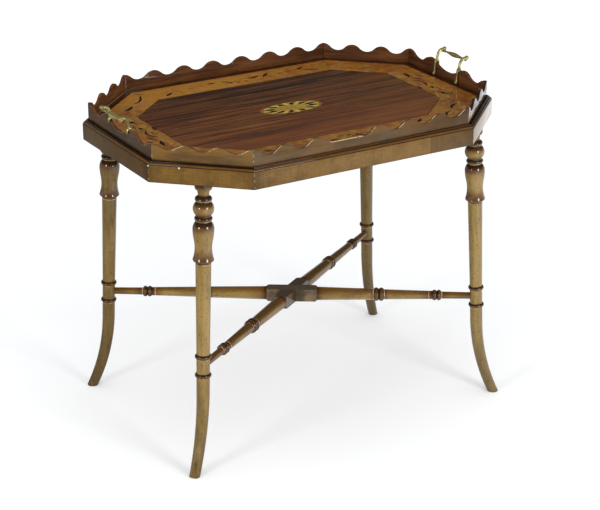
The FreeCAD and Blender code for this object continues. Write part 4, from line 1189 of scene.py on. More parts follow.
@dataclass
class Stand:
    """The apron with its rim, the bearers, the legs and the crossed stretcher."""

    edge: float = 0.5 * MM
    rim_edge: float = 0.25 * MM
    slot: str = "stand_wood"
    leg_head: Triple = (278.2 * MM, 180.6 * MM, APRON_FOOT)
    splay: float = math.radians(2.63)
    stretcher_level: float = 198.5 * MM
    sheets: dict[str, tuple[tuple[float, float], ...]] = field(default_factory=lambda: {
        "front": ((-0.060, -0.06), (0.1315, 0.40)), "back": ((-0.07, 0.16), (0.16, -0.1)),
        "left": ((-0.0437, 0.03),), "right": ((0.03, 0.1),)})
    # Painted shade: the left side of the apron is darker.
    side_shade_tones: dict[str, float] = field(default_factory=lambda: {"left": 0.6})
    # The front's inner bead is less shaded.
    rim_light_and_shade: dict[str, RimLightAndShade] = field(default_factory=lambda: {
        "front": RimLightAndShade("6a4420")})
    # Places of painted highlight spots on the front left corner of the apron.
    glint_spots: tuple[Triple, ...] = ((-0.3158, -0.1658, 0.5578), (-0.3550, -0.1290, 0.5584))
    leg_stain_and_light: StainLightAndShade = StainLightAndShade(0.560, (
        (0, 0.95), (4, 0.85), (7, 0.45), (12, 0.3), (18, 0.3), (21, 0.8), (26, 0.9),
        (31, 0.95), (35, 0.75), (40, 0.34), (45, 0.12), (50, 0.28), (54, 0.75), (57, 0.95),
        (61, 0.8), (64, 0.6), (67, 0.95), (72, 0.8), (78, 0.52), (85, 0.2), (95, 0.06),
        (112, 0.1), (120, 0.32), (128, 0.55), (134, 0.6), (140, 0.85), (143, 0.3),
        (146, 0.05), (152, 0.0), (480, 0.0), (522, 0.0), (534, 0.25)),
        rings=(0.3134, 0.3484), scuffed=(0.34, 0.47, 0.42),
        highlight_lines=(0.0290, 0.0655, 0.1425, 0.3174, 0.3524))
    # Painted shade: the legs further from the lamps are darker all over.
    leg_shade_tones: dict[str, float] = field(default_factory=lambda: {
        "front_left": 0.0, "front_right": 0.08, "back_right": 0.42, "back_left": 0.36})
    # The rails' stain, with painted shade on their tops and painted highlight lines at the rings.
    rail_stain_and_light: RailStainLightAndShade = RailStainLightAndShade(0.340, (
        (0, 0.0), (46, 0.0), (48.5, 0.9), (53, 0.5), (60, 0.3), (90, 0.12), (148, 0.15),
        (155, 0.8), (159, 0.45), (164, 0.95), (169, 0.45), (173, 0.8), (182, 0.15),
        (240, 0.1), (258, 0.5), (265, 0.9), (269, 0.5), (273, 0.95), (277, 0.6),
        (282, 0.6), (300, 0.32), (340, 0.6)), axis=0,
        highlight_lines=(0.1535, 0.1745, 0.2578, 0.2822), pale="d8c9a6")

    def build(self) -> None:
        """Build and dress every piece of the stand."""
        self.apron()
        self.rim()
        self.turned_pieces()
        self.bearers()

    def apron(self) -> None:
        """Round the edges of the apron and veneer it with an upright figure."""
        for name, side in SIDES.items():
            node = f"apron_{name}" if name in STRAIGHT else f"corner_block_{name}"
            # Each side's veneer, with its painted shade and painted highlight spots.
            sheets = VeneerSheets(side, self.sheets.get(name, ()),
                                  self.side_shade_tones.get(name, 0.0), self.glint_spots)
            wood = POLISHED_APRON if name == "front_right" else APRON
            dress(softened(node, self.edge),
                  wood.material(name, side.place, Grain.UPRIGHT, sheets))

    def rim(self) -> None:
        """Give each rim moulding a grain along its own side."""
        for name, side in SIDES.items():
            wood = DARK_RIM if name == "front_right" else RIM
            # Painted shade and a glint on each rim.
            stain = self.rim_light_and_shade.get(name, RimLightAndShade())
            dress(softened(f"rim_{name}", self.rim_edge),
                  wood.material(name, side.place, painter=stain))

    def turned_pieces(self) -> None:
        """Dress the legs and the stretcher rails with wood along their length."""
        for name in CANTED:
            # Each leg's stain, with its painted shade, highlights and reflections.
            stain = replace(self.leg_stain_and_light, tone=self.leg_shade_tones[name])
            dress(frame["nodes"][f"leg_{name}"], TURNED.material(
                f"leg {name}", self.leg_place(name), Grain.UPRIGHT, stain))
        # Rail a is darker all over as painted shade; rail b is less shaded on its tops.
        stains = (replace(self.rail_stain_and_light, tone=0.35, grime_and_shade="3a210d"),
                  replace(self.rail_stain_and_light, upper="6b4520"))
        for letter, name, stain in zip("ab", ("back_right", "front_right"), stains):
            turn = self.leg_place(name).turn[2]
            place = Place((0.0, 0.0, self.stretcher_level), (0.0, 0.0, turn))
            dress(frame["nodes"][f"stretcher_rail_{letter}"],
                  TURNED.material(f"rail {letter}", place, painter=stain))

    def leg_place(self, name: str) -> Place:
        """The frame of a leg: at its head, with z up along its leaning axis.

        Args:
            name: the leg's corner.

        Returns:
            The frame.
        """
        x, y, level = self.leg_head
        x *= 1 if name.endswith("right") else -1
        y *= 1 if name.startswith("back") else -1
        return Place((x, y, level), (0.0, -self.splay, math.atan2(y, x)))

    def bearers(self) -> None:
        """Dress the plain bearers under the tray."""
        for name in ("left", "right"):
            dress(softened(f"bearer_{name}", self.edge),
                  SECONDARY.material(f"bearer {name}", TABLE, Grain.INWARDS))


# The tray.

def patera_unit(graph: Graph, vector: Socket) -> Socket:
    """The vector, flat and scaled so that the patera's edge is a unit circle."""
    low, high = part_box("patera")
    return graph.mapped(vector, (2 / (high.x - low.x), 2 / (high.y - low.y), 0.0))


def paint_patera(graph: Graph, vector: Socket, shade: Socket) -> Socket:
    """Draw the petals of the patera over its satinwood.

    Args:
        graph: the material's graph.
        vector: the point in the piece's frame.
        shade: the colour so far.

    Returns:
        The new colour.
    """
    petals = graph.group(EFFECTS.petals, patera_unit(graph, vector))
    dark = graph.top(petals["Slit"], graph.times(petals["Eye"], 0.7))
    return graph.paint(shade, (graph.times(petals["Shade"], 0.75), "5a3c14"),
                       (graph.times(petals["Shine"], 0.55), "e0c468"), (dark, "170b06"))


def paint_border(graph: Graph, vector: Socket, shade: Socket) -> Socket:
    """Thin lines round the patera, in a border that is scorched beside its long sides.

    Args:
        graph: the material's graph.
        vector: the point in the piece's frame.
        shade: the colour so far.

    Returns:
        The new colour.
    """
    reach = graph.vector("LENGTH", patera_unit(graph, vector))["Value"]
    turns = graph.math("FRACT", graph.times(reach, 38.0))
    return graph.paint(shade, (graph.line(turns, 0.5, 0.12, 0.34, 0.55), "2a130a"),
                       (graph.line(graph.parts(vector)[0], 0.0, 30 * MM, 55 * MM, 0.7),
                        "3a1d10"))


@dataclass(frozen=True)
class DarkStreak:
    """A near-black streak in the field: its middle, half its length and half its width."""

    x: float
    y: float
    half_length: float
    half_width: float
    strength: float

    def mask(self, graph: Graph, x: Socket, y: Socket) -> Socket:
        """Where the streak lies.

        Args:
            graph: the material's graph.
            x: the point's place along the field.
            y: its place across the field.

        Returns:
            The streak's mask.
        """
        band = graph.line(y, self.y, self.half_width * 0.2, self.half_width * 1.7)
        length = graph.line(x, self.x, self.half_length * 0.6, self.half_length)
        return graph.times(band, length, self.strength)


@dataclass(frozen=True)
class FieldFigure:
    """Fine straight lines and near-black streaks in the field, with a painted reflection: paler
    to the front and darker to the back.
    """

    mottle: Mottle = Mottle(14.0, "6a4c1e", 0.4, (0.5, 1.0, 1.0))
    wander: float = 50 * MM
    streaks: tuple[DarkStreak, ...] = (
        DarkStreak(0.014, 0.113, 0.135, 0.008, 0.9),
        DarkStreak(0.165, 0.130, 0.080, 0.009, 0.8),
        DarkStreak(-0.112, -0.106, 0.070, 0.006, 0.7),
        DarkStreak(-0.02, 0.150, 0.20, 0.006, 0.7),
        DarkStreak(0.10, 0.040, 0.16, 0.004, 0.5),
        DarkStreak(-0.15, 0.060, 0.10, 0.005, 0.5),
        DarkStreak(0.08, -0.060, 0.12, 0.004, 0.5))

    def __call__(self, graph: Graph, vector: Socket, shade: Socket) -> Socket:
        """Paint the lines, the streaks, a paler right side, and the painted reflection from front
        to back over a colour.

        Args:
            graph: the material's graph.
            vector: the point in the piece's frame.
            shade: the colour so far.

        Returns:
            The new colour.
        """
        x, y, _ = graph.parts(vector)
        fine = graph.noise(graph.mapped(vector, (7.0, 210.0, 1.0)), 1.0, roughness=0.6)
        shade = graph.paint(self.mottle(graph, vector, shade),
                            (graph.span(fine, 0.36, 0.50, 0.45, 0.0), "955a24"),
                            (graph.span(fine, 0.50, 0.64, 0.0, 0.7), "240f08"))
        sway = graph.minus(graph.noise(graph.mapped(vector, (9.0, 2.0, 1.0)), 1.0, 2.0), 0.5)
        swayed = graph.plus(y, graph.times(sway, self.wander))
        lines = graph.span(fine, 0.35, 0.55, 0.35, 1.0)
        for streak in self.streaks:
            shade = graph.paint(
                shade, (graph.times(streak.mask(graph, x, swayed), lines), "0f090a"))
        # Paler to the right; paler to the front and darker to the back as a painted reflection,
        # where the field would mirror the dark gallery.
        return graph.paint(shade, (graph.span(x, -0.05, 0.28, 0.0, 0.25), "6b4a26"),
                           (graph.span(y, -0.20, 0.02, 0.42, 0.0), "864d29"),
                           (graph.span(y, -0.02, 0.20, 0.0, 0.48), "190d0a"))


@dataclass(frozen=True)
class SatinwoodFigure:
    """Olive and golden patches in the satinwood, paler to the back left."""

    mottles: tuple[Mottle, ...] = (
        Mottle(30.0, "86701f", 0.58), Mottle(60.0, "6b3412", 0.5, offset=(3.0, 1.0, 0.0)),
        Mottle(80.0, "d0a044", 0.36, offset=(7.0, 5.0, 0.0)))

    def __call__(self, graph: Graph, vector: Socket, shade: Socket) -> Socket:
        """Paint the patches over a colour.

        Args:
            graph: the material's graph.
            vector: the point in the piece's frame.
            shade: the colour so far.

        Returns:
            The new colour.
        """
        x, y, _ = graph.parts(vector)
        for mottle in self.mottles:
            shade = mottle(graph, vector, shade)
        pale = graph.times(graph.span(y, 0.10, 0.20), graph.span(x, -0.05, 0.12, 0.5, 0.0))
        ruddy = graph.times(graph.span(x, 0.21, 0.31),
                            graph.patches(vector, 9.0, 0.36, 0.62, 0.45, 0.0))
        return graph.paint(shade, (pale, "c08a3a"), (ruddy, "6e3114"))


@dataclass(frozen=True)
class GalleryFaces:
    """The two faces of a gallery board, its chipped mitres, its broken crest, and the highlights
    and shade painted on its edges.
    """

    side: Side
    outside: str = "5f4528"
    far_outside: str | None = None
    torn: tuple[float, float] | None = None
    glinting_foot: bool = False
    shaded_crest: bool = False
    outer_depth: tuple[float, float] = (11 * MM, 12 * MM)
    inner_mottle: Mottle = Mottle(26.0, "2e1a12", 0.5, (0.4, 1.0, 1.4))
    outer_mottles: tuple[Mottle, ...] = (
        Mottle(55.0, "332414", 0.5, (0.35, 1.0, 1.6)),
        Mottle(30.0, "59554a", 0.35, (0.5, 1.0, 1.0)))
    # Painted light: a highlight on slopes that face the left lamp, shade on the top edges, a
    # highlight on the broken crest's verge and a glint along the foot.
    highlight_way: Triple = (-0.857, 0.515, 0.0)
    edge_highlight: str = "efe4c8"
    crest: str = "1b1410"
    torn_wood: str = "86602f"
    torn_edge_highlight: str = "ecdcb0"
    foot: str = "b9a884"
    mitre: str = "1a0f0a"
    chip: str = "b5aa92"

    def __call__(self, graph: Graph, vector: Socket, shade: Socket) -> Socket:
        """Paint the outer face browner, the mitres with pale chips, and painted highlights and
        shade on the edges.

        Args:
            graph: the material's graph.
            vector: the point in the piece's frame.
            shade: the colour so far.

        Returns:
            The new colour.
        """
        along, inwards, level = graph.parts(vector)
        tone = graph.paint(shade, (0.72, self.outside))
        if self.far_outside:
            tone = graph.paint(tone, (graph.span(along, 0.0, self.side.half, 0.0, 0.8),
                                      self.far_outside))
        for mottle in self.outer_mottles:
            tone = mottle(graph, vector, tone)
        outer = graph.span(inwards, *self.outer_depth, 1.0, 0.0)
        shade = graph.mix(outer, self.inner_mottle(graph, vector, shade), tone)
        shade = self.mitres(graph, vector, shade)
        upward, patchy, on_slopes = self.edges(graph, vector)
        # A painted highlight on the slopes that face the left lamp, on all but the back sides.
        if not self.side.name.startswith("back"):
            shade = graph.paint(shade, (on_slopes, self.edge_highlight))
        # Painted shade on the top edges.
        if self.shaded_crest:
            shade = graph.paint(shade, (graph.times(upward, 0.85), self.crest))
        # The broken crest: raw wood, with a painted highlight along its outer verge.
        if self.torn:
            low, high = self.torn
            flat = graph.times(graph.math("GREATER_THAN", along, low),
                               graph.math("LESS_THAN", along, high), upward)
            shade = graph.paint(shade, (flat, self.torn_wood),
                                (graph.times(flat, patchy), self.torn_edge_highlight))
        # A painted glint along the foot of the inner face.
        if self.glinting_foot:
            foot = graph.times(graph.span(inwards, 13 * MM, 14 * MM), graph.span(
                level, TRAY_FLOOR + 0.8 * MM, TRAY_FLOOR + 1.5 * MM, 0.8, 0.0))
            shade = graph.paint(shade, (foot, self.foot))
        return shade

    def mitres(self, graph: Graph, vector: Socket, shade: Socket) -> Socket:
        """Paint the joints at the board's ends dark, with pale chips.

        Args:
            graph: the material's graph.
            vector: the point in the piece's frame.
            shade: the colour so far.

        Returns:
            The new colour.
        """
        along, inwards, _ = graph.parts(vector)
        gap = graph.math("MINIMUM", *(
            graph.minus(to_end, graph.times(inwards, draw)) for to_end, draw in zip(
                (graph.plus(along, self.side.half), graph.minus(self.side.half, along)),
                self.side.ends)))
        joint = graph.span(gap, 0.3 * MM, 1.1 * MM, 1.0, 0.0)
        # Painted shade: the chips are dimmer in the back right quarter of the table.
        x, y, _ = graph.parts(graph.spot())
        far = graph.times(graph.math("GREATER_THAN", x, 0.0),
                          graph.math("GREATER_THAN", y, 0.0))
        chips = graph.times(graph.span(far, 0.0, 1.0, 1.0, 0.15),
                            graph.patches(vector, 150.0, 0.47, 0.58, roughness=0.75))
        return graph.paint(shade, (graph.times(joint, 0.8), self.mitre),
                           (graph.times(joint, chips), self.chip))

    def edges(self, graph: Graph, vector: Socket) -> tuple[Socket, Socket, Socket]:
        """Masks of the waved edge.

        Args:
            graph: the material's graph.
            vector: coordinates in the frame of the side.

        Returns:
            The masks of what faces up, of the patchy outer verge, and of its slopes that face the
            left lamp, which take a painted highlight.
        """
        normal = graph.normal()
        upward = graph.span(graph.parts(normal)[2], 0.25, 0.6)
        # How much a slope faces the left lamp, for the painted highlight.
        slope = graph.vector("DOT_PRODUCT", normal, self.highlight_way)["Value"]
        verge = graph.span(graph.parts(vector)[1], 11.2 * MM, 12.0 * MM, 1.0, 0.0)
        broken = graph.patches(vector, 120.0, 0.38, 0.5, roughness=0.7)
        patchy = graph.times(verge, broken)
        return upward, patchy, graph.times(
            upward, patchy, graph.span(slope, 0.15, 0.35, 0.0, 0.85))


@dataclass
class Handle:
    """A brass handle: two posts that straddle the gallery, with a grip between them.

    Its sizes are millimetres in the frame of its side, with levels above the tray's floor.
    prong_width is how much wider a limb is along the side than across it.
    """

    side: Side
    brass: bpy.types.Material
    spacing: float = 36.0
    edge_middle: float = 12.5
    face: float = 10.0
    back: float = 15.0
    prong: float = 2.5
    crotch: float = 25.9
    outer_foot: float = 18.3
    ball: float = 3.3
    grip_inset: float = -2.0
    grip_level: float = 45.4
    voxel: float = 0.45
    prong_width: float = 1.45
    grip_sides: int = 28

    @property
    def matrix(self) -> Matrix:
        """The way from the handle's millimetres to the table's frame.

        Returns:
            The matrix, whose origin is on the tray's floor under the middle of the grip.
        """
        place = self.side.place.matrix()
        low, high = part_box(f"handle_grip_{self.side.name}")
        middle = (place.inverted() @ ((low + high) / 2)).x
        return place @ Matrix.Translation((middle, 0.0, TRAY_FLOOR)) @ Matrix.Scale(MM, 4)

    def build(self) -> None:
        """Cast the two posts and the grip."""
        for sign in (-1, 1):
            end = "front" if sign * (1 if self.side.name == "left" else -1) > 0 else "back"
            self.post(sign, f"handle_post_{self.side.name}_{end}")
        self.grip(f"handle_grip_{self.side.name}")

    def made(self, shape: bmesh.types.BMesh, node: str, way: str) -> bpy.types.Object:
        """Place a handle's mesh on its side, in the place of a CAD node.

        Args:
            shape: the mesh, in the handle's millimetres.
            node: the CAD node that it replaces.
            way: the end of the piece's name.

        Returns:
            The piece.
        """
        bmesh.ops.transform(shape, matrix=self.matrix, verts=shape.verts)
        piece = smooth_piece(f"{node}_{way}", shape, "tray")
        dress(piece, self.brass)
        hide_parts(node)
        return piece

    def post(self, sign: int, node: str) -> None:
        """A post: two prongs, a bent arm that swells to a scroll, and a foot ball.

        Args:
            sign: which way along the side the post stands.
            node: the CAD node that it replaces.
        """
        place = self.spacing * sign
        shape = bmesh.new()

        def limb(radii: tuple[float, ...], *points: tuple[float, float],
                 flat: float = self.prong_width) -> None:
            """Add a tube to the post.

            Args:
                radii: its radii, spread over its length.
                points: each point's inset and level.
                flat: its size along the side as a share of the other way.
            """
            line = curve_through([(place, inset, level) for inset, level in points], 6)
            add_tube(shape, line, spread(radii, len(line)), flat)

        middle, bridge = self.edge_middle, self.crotch + 3.0
        inner = self.back + self.prong / 2 + 0.15
        outer = self.face - self.prong / 2 - 0.15
        limb((2.9, 2.6, 2.7, 2.9, 3.1, 3.3, 3.0), (middle, bridge - 2.0),
             (middle - 0.3, bridge + 4.0), (middle - 1.3, 38.0), (middle - 4.0, 44.0),
             (3.6, 48.0), (self.grip_inset, 48.4), (-4.2, 48.2), flat=1.0)
        limb((2.7, 1.9, 1.4, 1.5, 2.3), (middle + 0.8, bridge), (inner - 0.3, self.crotch),
             (inner + 0.5, 18.5), (inner + 1.0, 9.5), (inner + 1.6, 4.0))
        limb((2.7, 1.9, 1.5, 0.6), (middle - 0.8, bridge), (outer + 0.3, self.crotch),
             (outer, 22.5), (outer - 0.6, self.outer_foot + 0.4))
        add_ball(shape, (place, self.back + self.ball + 0.1, self.ball + 0.3), self.ball)
        add_ball(shape, (place, middle, bridge + 0.5), 3.3, (1.0, 1.0, 0.7))
        add_ball(shape, (place, self.grip_inset, self.grip_level + 0.4), 3.6)
        add_ball(shape, (place, -4.4, 49.2), 4.0)
        piece = self.made(shape, node, "cast")
        remesh = piece.modifiers.new("casting", "REMESH")
        remesh.mode = "VOXEL"
        remesh.voxel_size = self.voxel * MM
        remesh.use_smooth_shade = True
        piece.modifiers.new("tumbled", "SMOOTH").iterations = 4

    def grip(self, node: str) -> None:
        """The grip: a spindle with a collar at each end and a swollen middle.

        Args:
            node: the CAD node that it replaces.
        """
        reach = self.spacing - 3.0
        turning = ((reach, 1.6), (reach - 1.4, 2.9), (reach - 3.0, 2.9), (reach - 4.0, 1.8),
                   (25.0, 1.8), (19.0, 2.4), (13.0, 3.4), (7.0, 4.2), (0.0, 4.5))
        turning += tuple((-spot, radius) for spot, radius in reversed(turning[:-1]))
        line = [Vector((spot, self.grip_inset, self.grip_level)) for spot, _ in turning]
        shape = bmesh.new()
        add_tube(shape, line, [radius for _, radius in turning], segments=self.grip_sides)
        smooth = self.made(shape, node, "turned").modifiers.new("turned", "SUBSURF")
        smooth.levels = smooth.render_levels = 1


Line = tuple[tuple[float, float], ...]
Mark = tuple[Line, tuple[float, ...]]


@dataclass(frozen=True)
class Inlay:
    """Scrolling foliage let into the satinwood band, the same after half a turn.

    Each mark is a line and its widths, in millimetres for the back and the right of the tray.
    """

    top: float = TRAY_FLOOR + 0.05 * MM
    depth: float = 0.4 * MM
    stem_drop: float = 0.02 * MM
    stem_step: float = 8.0
    stem_swing: float = 7.5
    stem_pace: float = 15.5
    strokes: tuple[Mark, ...] = (
        (((-204, 203), (-209, 192), (-215, 180), (-224, 170), (-238, 163)),
         (1.2, 3.2, 4.6, 4.2, 1.4)),
        (((-245, 152), (-254, 143), (-262, 137), (-270, 133)), (1.6, 8.0, 7.0, 1.4)),
        (((-163, 176), (-156, 182), (-143, 190)), (1.2, 8.0, 1.2)),
        (((-64, 201), (-55, 205), (-44, 202)), (1.4, 4.4, 1.4)),
        (((-36, 203), (-27, 198), (-23, 187)), (1.4, 5.0, 4.0)),
        (((-24, 187), (-20, 189), (-15, 193)), (4.0, 4.4, 1.2)),
        (((-10, 184), (-2, 185)), (4.4, 4.4)),
        (((6, 184), (14, 182)), (4.2, 4.2)),
        (((18, 198), (32, 196), (47, 201)), (1.2, 8.5, 1.4)),
        (((50, 190), (60, 200), (70, 210)), (1.4, 8.5, 1.4)),
        (((126, 199), (139, 204), (151, 209)), (1.4, 6.5, 1.2)),
        (((142, 193), (155, 185), (168, 180)), (1.4, 4.6, 1.2)),
        (((195, 200), (206, 196), (218, 192)), (1.0, 3.6, 1.0)),
        (((294, 73), (292, 58), (288, 44)), (2.0, 9.0, 1.5)),
        (((281, 24), (289, 15), (293, 3), (290, -9), (284, -17)), (1.0, 3.4, 3.8, 3.0, 1.0)),
        (((275, 10), (281, 3), (280, -7)), (1.0, 3.0, 1.0)),
        (((268, -8), (268, -20), (267, -31)), (1.2, 5.4, 1.2)),
        (((281, -52), (284, -63), (289, -75), (300, -87)), (1.0, 3.6, 4.0, 1.0)),
        (((300, 14), (297, 25), (290, 36)), (1.0, 3.6, 1.0)),
        (((310, 37), (308, 43), (305, 49)), (1.0, 3.4, 1.0)),
        (((290, -72), (287, -65), (282, -78)), (1.4, 3.6, 1.2)),
        (((296, -50), (296, -41), (297, -30)), (1.2, 3.2, 1.2)),
        (((289, -26), (289, -36)), (4.6, 4.6)),
        (((278, -60), (272, -54)), (1.4, 2.6)),
    )
    russet: tuple[Mark, ...] = (
        (((-271, 126), (-281, 122), (-290, 116)), (2.0, 1.8, 0.6)),
        (((-205, 207), (-199, 208), (-192, 206)), (1.4, 1.8, 0.6)),
        (((-139, 205), (-132, 199), (-122, 197)), (0.8, 2.0, 0.6)),
        (((209, 168), (224, 158), (240, 148)), (0.8, 2.2, 0.8)),
        (((245, 140), (255, 134), (264, 128)), (0.8, 2.2, 0.8)),
        (((-212, 218), (-204, 214), (-196, 208)), (1.2, 4.4, 1.2)),
        (((-258, 128), (-270, 122), (-282, 112)), (1.2, 4.4, 1.2)),
        (((297, 11), (291, 19), (285, 29)), (1.2, 4.0, 1.2)),
        (((302, 25), (298, 31), (292, 40)), (1.2, 4.0, 1.2)),
        (((278, -8), (271, -9)), (2.6, 2.6)),
    )
    leaves: tuple[tuple[Line, float], ...] = (
        (((-180, 206), (-170, 203), (-158, 205)), 6.0),
        (((-118, 188), (-107, 190), (-95, 187)), 5.5),
        (((-48, 214), (-38, 212), (-28, 215)), 4.5),
        (((-22, 208), (-12, 212), (-2, 211)), 4.5),
        (((4, 210), (12, 207), (22, 209)), 4.5),
        (((70, 200), (82, 196), (94, 198)), 5.0),
        (((172, 190), (182, 194), (192, 192)), 4.5),
        (((280, 72), (277, 62), (280, 50)), 6.5),
        (((302, 66), (305, 57), (301, 47)), 5.0),
        (((280, -73), (283, -84), (281, -97)), 6.5),
        (((-232, 184), (-240, 176), (-249, 172)), 4.5),
        (((252, 160), (262, 152), (268, 144)), 4.5),
    )
    leaf_tip: float = 0.8

    def build(self) -> None:
        """Lay the three woods of the foliage."""
        leaves = [(line, (self.leaf_tip, width, self.leaf_tip)) for line, width in self.leaves]
        for name, marks, slot, wood, drop in (
                ("inlay_dark_lines", self.strokes, "dark_crossbanding", INK, 0.0),
                ("inlay_russet_lines", self.russet, "dark_crossbanding", STEM, 0.0),
                ("inlay_pale_leaves", leaves, "patera_satinwood", LEAF, 0.0),
                ("inlay_stems", self.stems(), "satinwood", STEM, self.stem_drop)):
            shape = bmesh.new()
            for turn in (MM, -MM):
                for points, widths in marks:
                    line = curve_through([(x * turn, y * turn, 0.0) for x, y in points], 5)
                    sizes = [width * MM for width in spread(widths, len(line))]
                    add_ribbon(shape, line, sizes, self.top - drop, self.depth)
            dress(smooth_piece(name, shape, "tray"), wood.material("foliage"))

    def stems(self) -> list[Mark]:
        """A thin waving stem along the back and along the right, with small side leaves.

        Returns:
            The marks of the stems and their leaves.
        """
        marks = []
        for reach, middle, upright in ((196, 195.5, False), (96, 292, True)):
            count = round(2 * reach / self.stem_step)
            points = []
            for index in range(count + 1):
                along = -reach + 2 * reach * index / count
                across = middle + self.stem_swing * math.sin(along / self.stem_pace)
                points.append((across, along) if upright else (along, across))
            marks.append((tuple(points), (0.7, 0.9, 0.9, 0.7)))
            for index in range(2, count - 1, 3):
                (x, y), (far_x, far_y) = points[index], points[index + 1]
                way = 1 if index % 2 else -1
                tip = (x + (far_x - x) * 1.1 - way * (far_y - y) * 0.7,
                       y + (far_y - y) * 1.1 + way * (far_x - x) * 0.7)
                bend = ((x + tip[0]) / 2 + way * 0.9, (y + tip[1]) / 2)
                marks.append((((x, y), bend, tip), (0.6, 2.6, 0.5)))
        return marks


@dataclass
class Tray:
    """The tray: its base, its veneered floor, its gallery and its handles."""

    edge: float = 0.6 * MM
    # Outer colours by side: the left darker as painted shade, the front left lighter as painted
    # light, the front darker towards its right end; the front right's top edges shaded and the
    # back left's foot glinting.
    faces: dict[str, GalleryFaces] = field(default_factory=lambda: {
        **{name: GalleryFaces(side) for name, side in SIDES.items()},
        "left": GalleryFaces(SIDES["left"], "43321e"),
        "front_left": GalleryFaces(SIDES["front_left"], "80602d"),
        "front": GalleryFaces(SIDES["front"], "6a5029", far_outside="472c14",
                              torn=(-0.071, -0.004)),
        "front_right": GalleryFaces(SIDES["front_right"], shaded_crest=True),
        "back_left": GalleryFaces(SIDES["back_left"], glinting_foot=True)})

    def build(self) -> None:
        """Build and dress every piece of the tray."""
        self.floor()
        Inlay().build()
        self.gallery()
        self.handles()

    def floor(self) -> None:
        """Dress the base board and each veneer of the floor."""
        for node, material in (
                ("tray_board", SECONDARY.material("tray board")),
                ("crossband", CROSSBAND.material("outer", grain=Grain.INWARDS, mitred=True)),
                ("outer_stringing", STRING.material("outer")),
                ("inner_stringing", STRING.material("inner")),
                ("satinwood_band", SATINWOOD.material("band", painter=SatinwoodFigure(),
                                                      mitred=True)),
                ("field_veneer", FIELD.material("field", painter=FieldFigure())),
                ("patera_border", BORDER.material("patera", painter=paint_border)),
                ("patera", PATERA.material("petals", painter=paint_patera))):
            dress(frame["nodes"][node], material)

    def gallery(self) -> None:
        """Round the gallery's edges and dress each board along its side."""
        for name, side in SIDES.items():
            wood = POLISHED_GALLERY if name == "front_right" else GALLERY
            dress(softened(f"gallery_{name}", self.edge),
                  wood.material(name, side.place, painter=self.faces[name]))

    def handles(self) -> None:
        """Cast the two handles and dress their pins."""
        brass = Brass().material()
        for name in ("left", "right"):
            Handle(SIDES[name], brass).build()
        dress(frame["nodes"]["handle_pins"], brass)


# The studio.

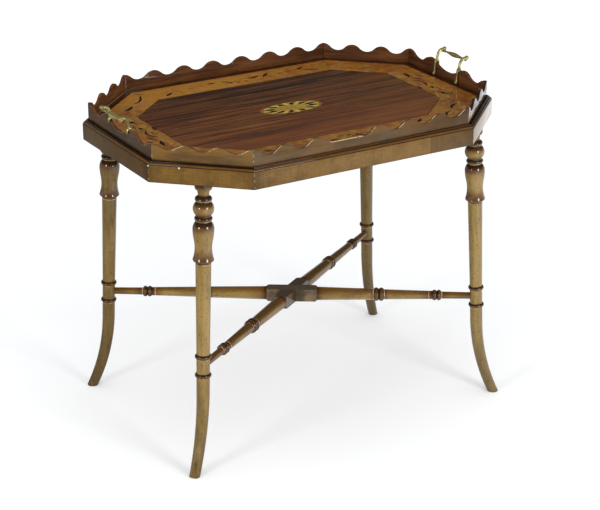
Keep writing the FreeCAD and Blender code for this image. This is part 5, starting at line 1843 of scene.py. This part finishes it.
@dataclass(frozen=True)
class Studio:
    """A white floor under a dim ceiling, two soft boxes beside the camera, and the camera."""

    eye: Triple = (-1.6029, -2.6942, 1.5731)
    yaw: float = 31.032
    pitch: float = 22.476
    lens: float = 108.77
    sensor: float = 36.0
    horizon: float = 0.30
    zenith: float = 1.05
    ceiling: float = 0.05
    floor_size: float = 14.0
    floor_colour: Colour = (0.925, 0.94, 0.955, 1.0)
    floor_roughness: float = 0.9
    glow: float = 0.17
    far_glow: float = 0.35
    left_mirror: float = 0.25
    target: Triple = (0.0, 0.0, 0.45)
    lamp_distance: float = 3.0
    lamp_way: Triple = (0.64, -0.733, 0.25)
    left_lamp: tuple[float, float] = (0.65, 20.0)
    right_lamp: tuple[float, float] = (0.85, 38.0)

    @property
    def right(self) -> Vector:
        """The level direction to the right of the camera."""
        turn = math.radians(self.yaw)
        return Vector((math.cos(turn), -math.sin(turn), 0.0))

    def build(self) -> None:
        """Set the world, the floor, the lamps and the camera."""
        self.world()
        self.floor()
        self.lamps()
        self.camera()
        bpy.context.scene.view_settings.view_transform = "Standard"

    def world(self) -> None:
        """An even soft sky, shown as white; polish mirrors a white horizon and a dim ceiling."""
        world = bpy.data.worlds.new("Studio")
        bpy.context.scene.world = world
        world.use_nodes = True
        graph = Graph(world.node_tree)
        rays = graph.add("LightPath").outputs
        height = graph.parts(graph.add("TexCoord").outputs["Generated"])[2]
        seen = graph.top(rays["Is Camera Ray"], rays["Is Transmission Ray"])
        overhead = graph.plus(self.horizon, graph.times(
            graph.top(height, 0.0), self.zenith - self.horizon))
        sky = graph.choose(rays["Is Glossy Ray"], overhead,
                           graph.span(height, 0.02, 0.22, 1.0, self.ceiling))
        background = world.node_tree.nodes["Background"]
        graph.fill(background, WHITE, graph.top(seen, sky))

    def floor(self) -> None:
        """A wide white floor that keeps a soft shadow."""
        mesh = bpy.data.meshes.new("floor")
        shape = bmesh.new()
        bmesh.ops.create_grid(shape, x_segments=1, y_segments=1, size=self.floor_size)
        shape.to_mesh(mesh)
        shape.free()
        sheet = placed("floor", mesh)
        material, graph, shader = new_material("White floor")
        rays = graph.add("LightPath").outputs
        glossy = rays["Is Glossy Ray"]
        spot = graph.spot()
        beside = graph.vector("DOT_PRODUCT", spot, self.right)["Value"]
        mirrored = graph.times(glossy, graph.span(beside, -0.6, 0.7, self.left_mirror, 1.0))
        seen = graph.top(rays["Is Camera Ray"],
                         graph.top(mirrored, rays["Is Transmission Ray"]))
        away = graph.vector("LENGTH", spot)["Value"]
        glow = graph.span(away, 0.8, 2.6, self.glow, self.far_glow)
        for label, value in (
                ("Roughness", self.floor_roughness), ("Specular IOR Level", 0.0),
                ("Base Color", graph.mix(graph.minus(glossy, mirrored), self.floor_colour,
                                         BLACK)),
                ("Emission Color", WHITE), ("Emission Strength", graph.times(seen, glow))):
            graph.feed(shader.inputs[label], value)
        dress(sheet, material)

    def lamps(self) -> None:
        """Two square soft boxes, a little above the table to the left and right of the camera."""
        target = Vector(self.target)
        turn = Matrix.Rotation(math.radians(-self.yaw), 3, "Z")
        across, out, up = self.lamp_way
        for name, side, (size, power) in (("left", -across, self.left_lamp),
                                          ("right", across, self.right_lamp)):
            data = bpy.data.lights.new(f"softbox_{name}", "AREA")
            data.shape = "SQUARE"
            data.size = size
            data.energy = power
            lamp = placed(f"softbox_{name}", data)
            way = turn @ Vector((side, out, up))
            lamp.location = target + way.normalized() * self.lamp_distance
            lamp.rotation_euler = (target - lamp.location).to_track_quat("-Z", "Y").to_euler()

    def camera(self) -> None:
        """The camera, level from side to side, looking down on the tray."""
        data = bpy.data.cameras.new("camera")
        data.lens = self.lens
        data.sensor_width = self.sensor
        data.clip_end = 60.0
        camera = placed("camera", data)
        camera.location = self.eye
        camera.rotation_euler = (math.radians(90 - self.pitch), 0.0, math.radians(-self.yaw))
        bpy.context.scene.camera = camera


def main() -> None:
    """Build the studio, the stand and the tray."""
    logging.basicConfig(level=logging.INFO, format="%(name)s: %(message)s")
    Studio().build()
    Stand().build()
    Tray().build()


if __name__ == "__main__":
    main()
